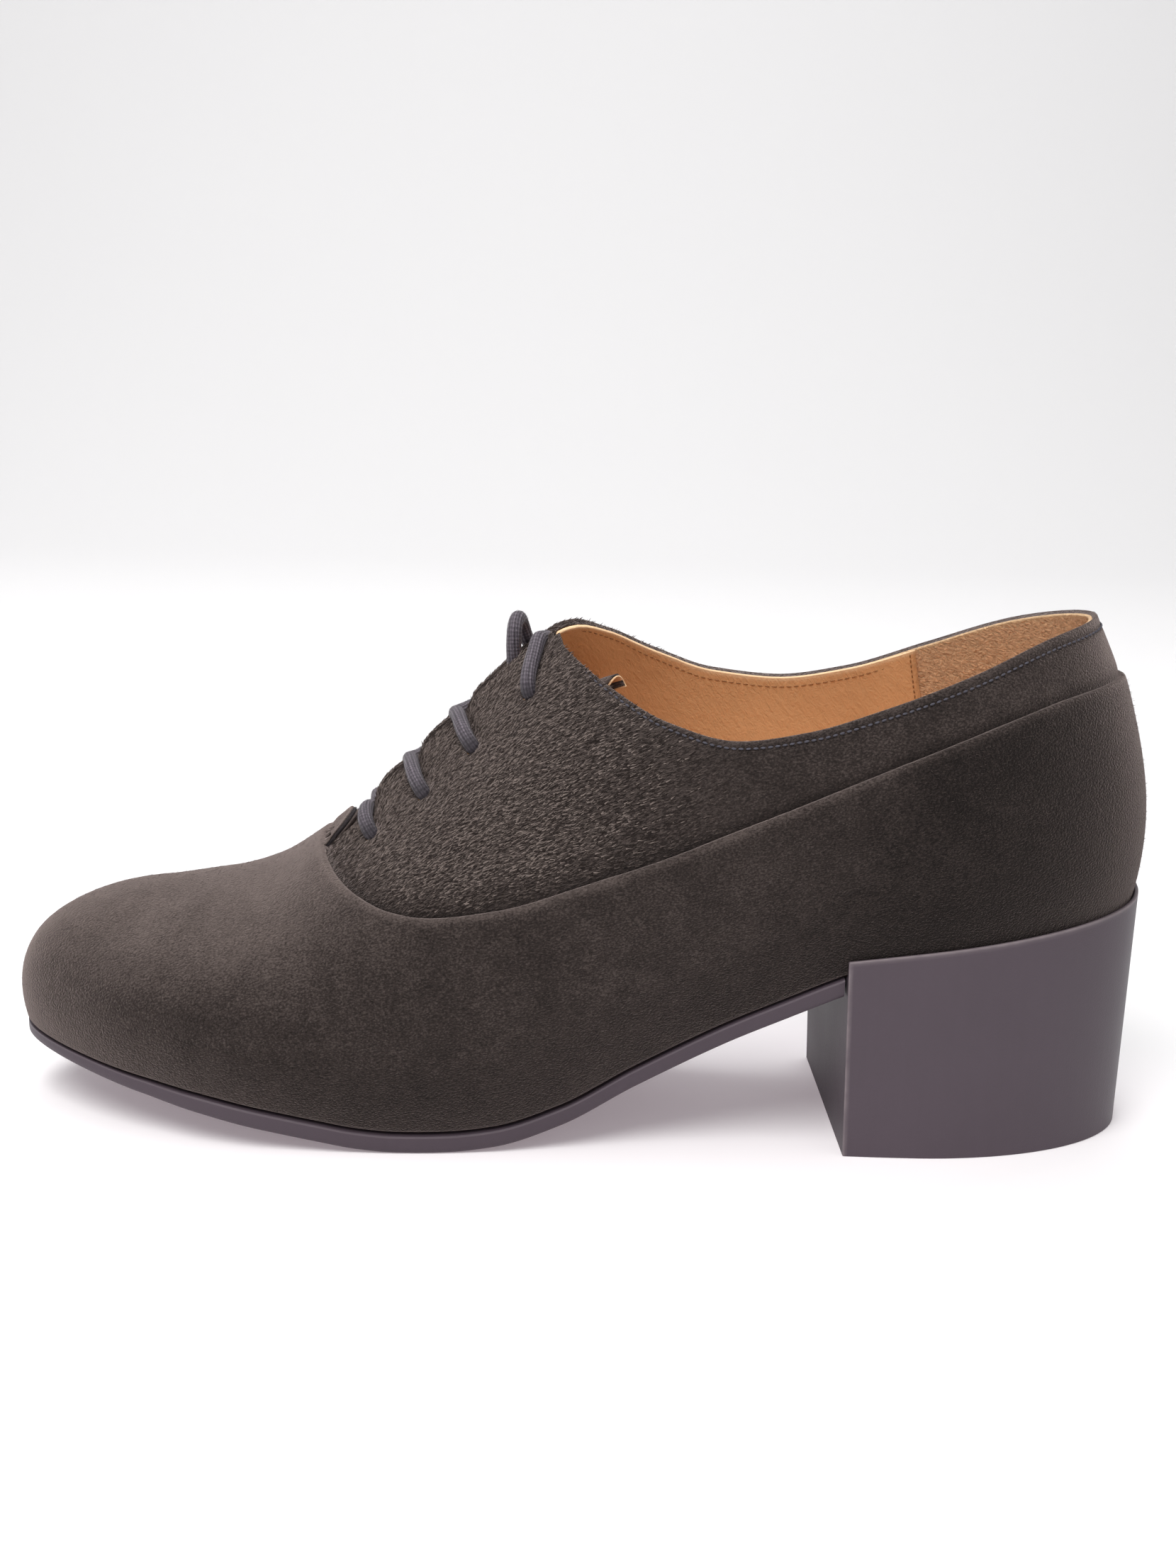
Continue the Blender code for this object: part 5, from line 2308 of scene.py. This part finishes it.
@dataclass(frozen=True)
class Camera:
    """The photograph's view, in millimetres from the heel's axis."""

    place: Triple = (-11.92, -410.30, 173.12)
    forward: Triple = (0.03063, 0.97188, -0.23348)
    up: Triple = (-0.02056, 0.23415, 0.97198)
    focal_pixels: float = 2700.0
    frame_height: float = 2212.0
    sensor: float = 36.0

    def build(self) -> None:
        """Make the camera and use it."""
        data = bpy.data.cameras.new("camera")
        data.sensor_width = self.sensor
        data.lens = self.focal_pixels * self.sensor / self.frame_height
        data.clip_start, data.clip_end = 0.01, 20.0
        item = put_in_scene("camera", data)
        forward, up = Vector(self.forward).normalized(), Vector(self.up).normalized()
        right = forward.cross(up).normalized()
        turn = Matrix((right, right.cross(forward), -forward)).transposed().to_4x4()
        item.matrix_world = Matrix.Translation(Vector(to_metres(np.array(self.place)))) @ turn
        bpy.context.scene.camera = item


@dataclass(frozen=True)
class SoftBox:
    """One soft studio lamp."""

    name: str
    place: Triple
    aim: Triple
    width: float
    watts: float
    colour: Colour

    def build(self) -> None:
        """Hang the lamp."""
        data = bpy.data.lights.new(self.name, "AREA")
        data.shape = "DISK"
        data.size = self.width
        data.energy = self.watts
        data.color = self.colour
        item = put_in_scene(self.name, data)
        item.location = self.place
        item.rotation_euler = (Vector(self.aim) - Vector(self.place)).to_track_quat("-Z", "Y").to_euler()


@dataclass(frozen=True)
class Studio:
    """Pale seamless sweep and soft light."""

    front: float = -2.2
    bend: float = 1.0
    radius: float = 0.7
    height: float = 2.6
    half_width: float = 3.0
    sky: Colour = (1.0, 0.995, 1.0)
    sky_strength: float = 0.46
    lamps: Tuple[SoftBox, ...] = (
        SoftBox("key", (-0.35, -0.62, 1.1), (-0.03, 0.0, 0.05), 0.8, 12.0, (1.0, 0.99, 0.98)),
        SoftBox("overhead", (-0.1, 0.15, 1.25), (0.0, 0.0, 0.05), 1.2, 7.0, (1.0, 1.0, 1.0)),
        SoftBox("backdrop", (0.0, 0.55, 1.9), (0.0, 1.5, 0.85), 1.2, 9.6, (1.0, 1.0, 1.0)),
    )

    def build(self, finishes: Finishes) -> None:
        """Make the floor, the world and the lamps.

        Args:
            finishes: the shoe's materials.
        """
        arc = np.linspace(0.0, 0.5 * np.pi, 24)
        line = [(self.front, 0.0)]
        line += [(self.bend + self.radius * math.sin(a), self.radius * (1.0 - math.cos(a))) for a in arc]
        line.append((self.bend + self.radius, self.height))
        points = np.array([[(x, y, z) for y, z in line] for x in (-self.half_width, self.half_width)])
        rows = len(line)
        faces = [(r, rows + r, rows + r + 1, r + 1) for r in range(rows - 1)]
        floor = make_piece("floor", to_millimetres(points), faces, finishes.paper)
        world = bpy.data.worlds.new("studio")
        world.use_nodes = True
        sky = world.node_tree.nodes["Background"]
        sky.inputs["Color"].default_value = (*self.sky, 1.0)
        sky.inputs["Strength"].default_value = self.sky_strength
        bpy.context.scene.world = world
        for lamp in self.lamps:
            lamp.build()
        view = bpy.context.scene.view_settings
        view.view_transform = "Standard"
        view.exposure = 0.0


def main() -> None:
    """Build the camera, the studio and every piece of the shoe."""
    logging.basicConfig(level=logging.INFO, format="%(message)s")
    Camera().build()
    finishes = Finishes()
    LACE.build(finishes)
    Studio().build(finishes)
    GALOSH.build(finishes)
    Quarters().build(finishes)
    LINING.build(finishes)
    Tongue().build(finishes)
    ThroatTab().build(finishes)
    Sock().build(finishes)
    Outsole().build(finishes)
    HeelBlock().build(finishes)
    Seams().build(finishes)
    bpy.context.view_layer.update()


if __name__ == "__main__":
    main()
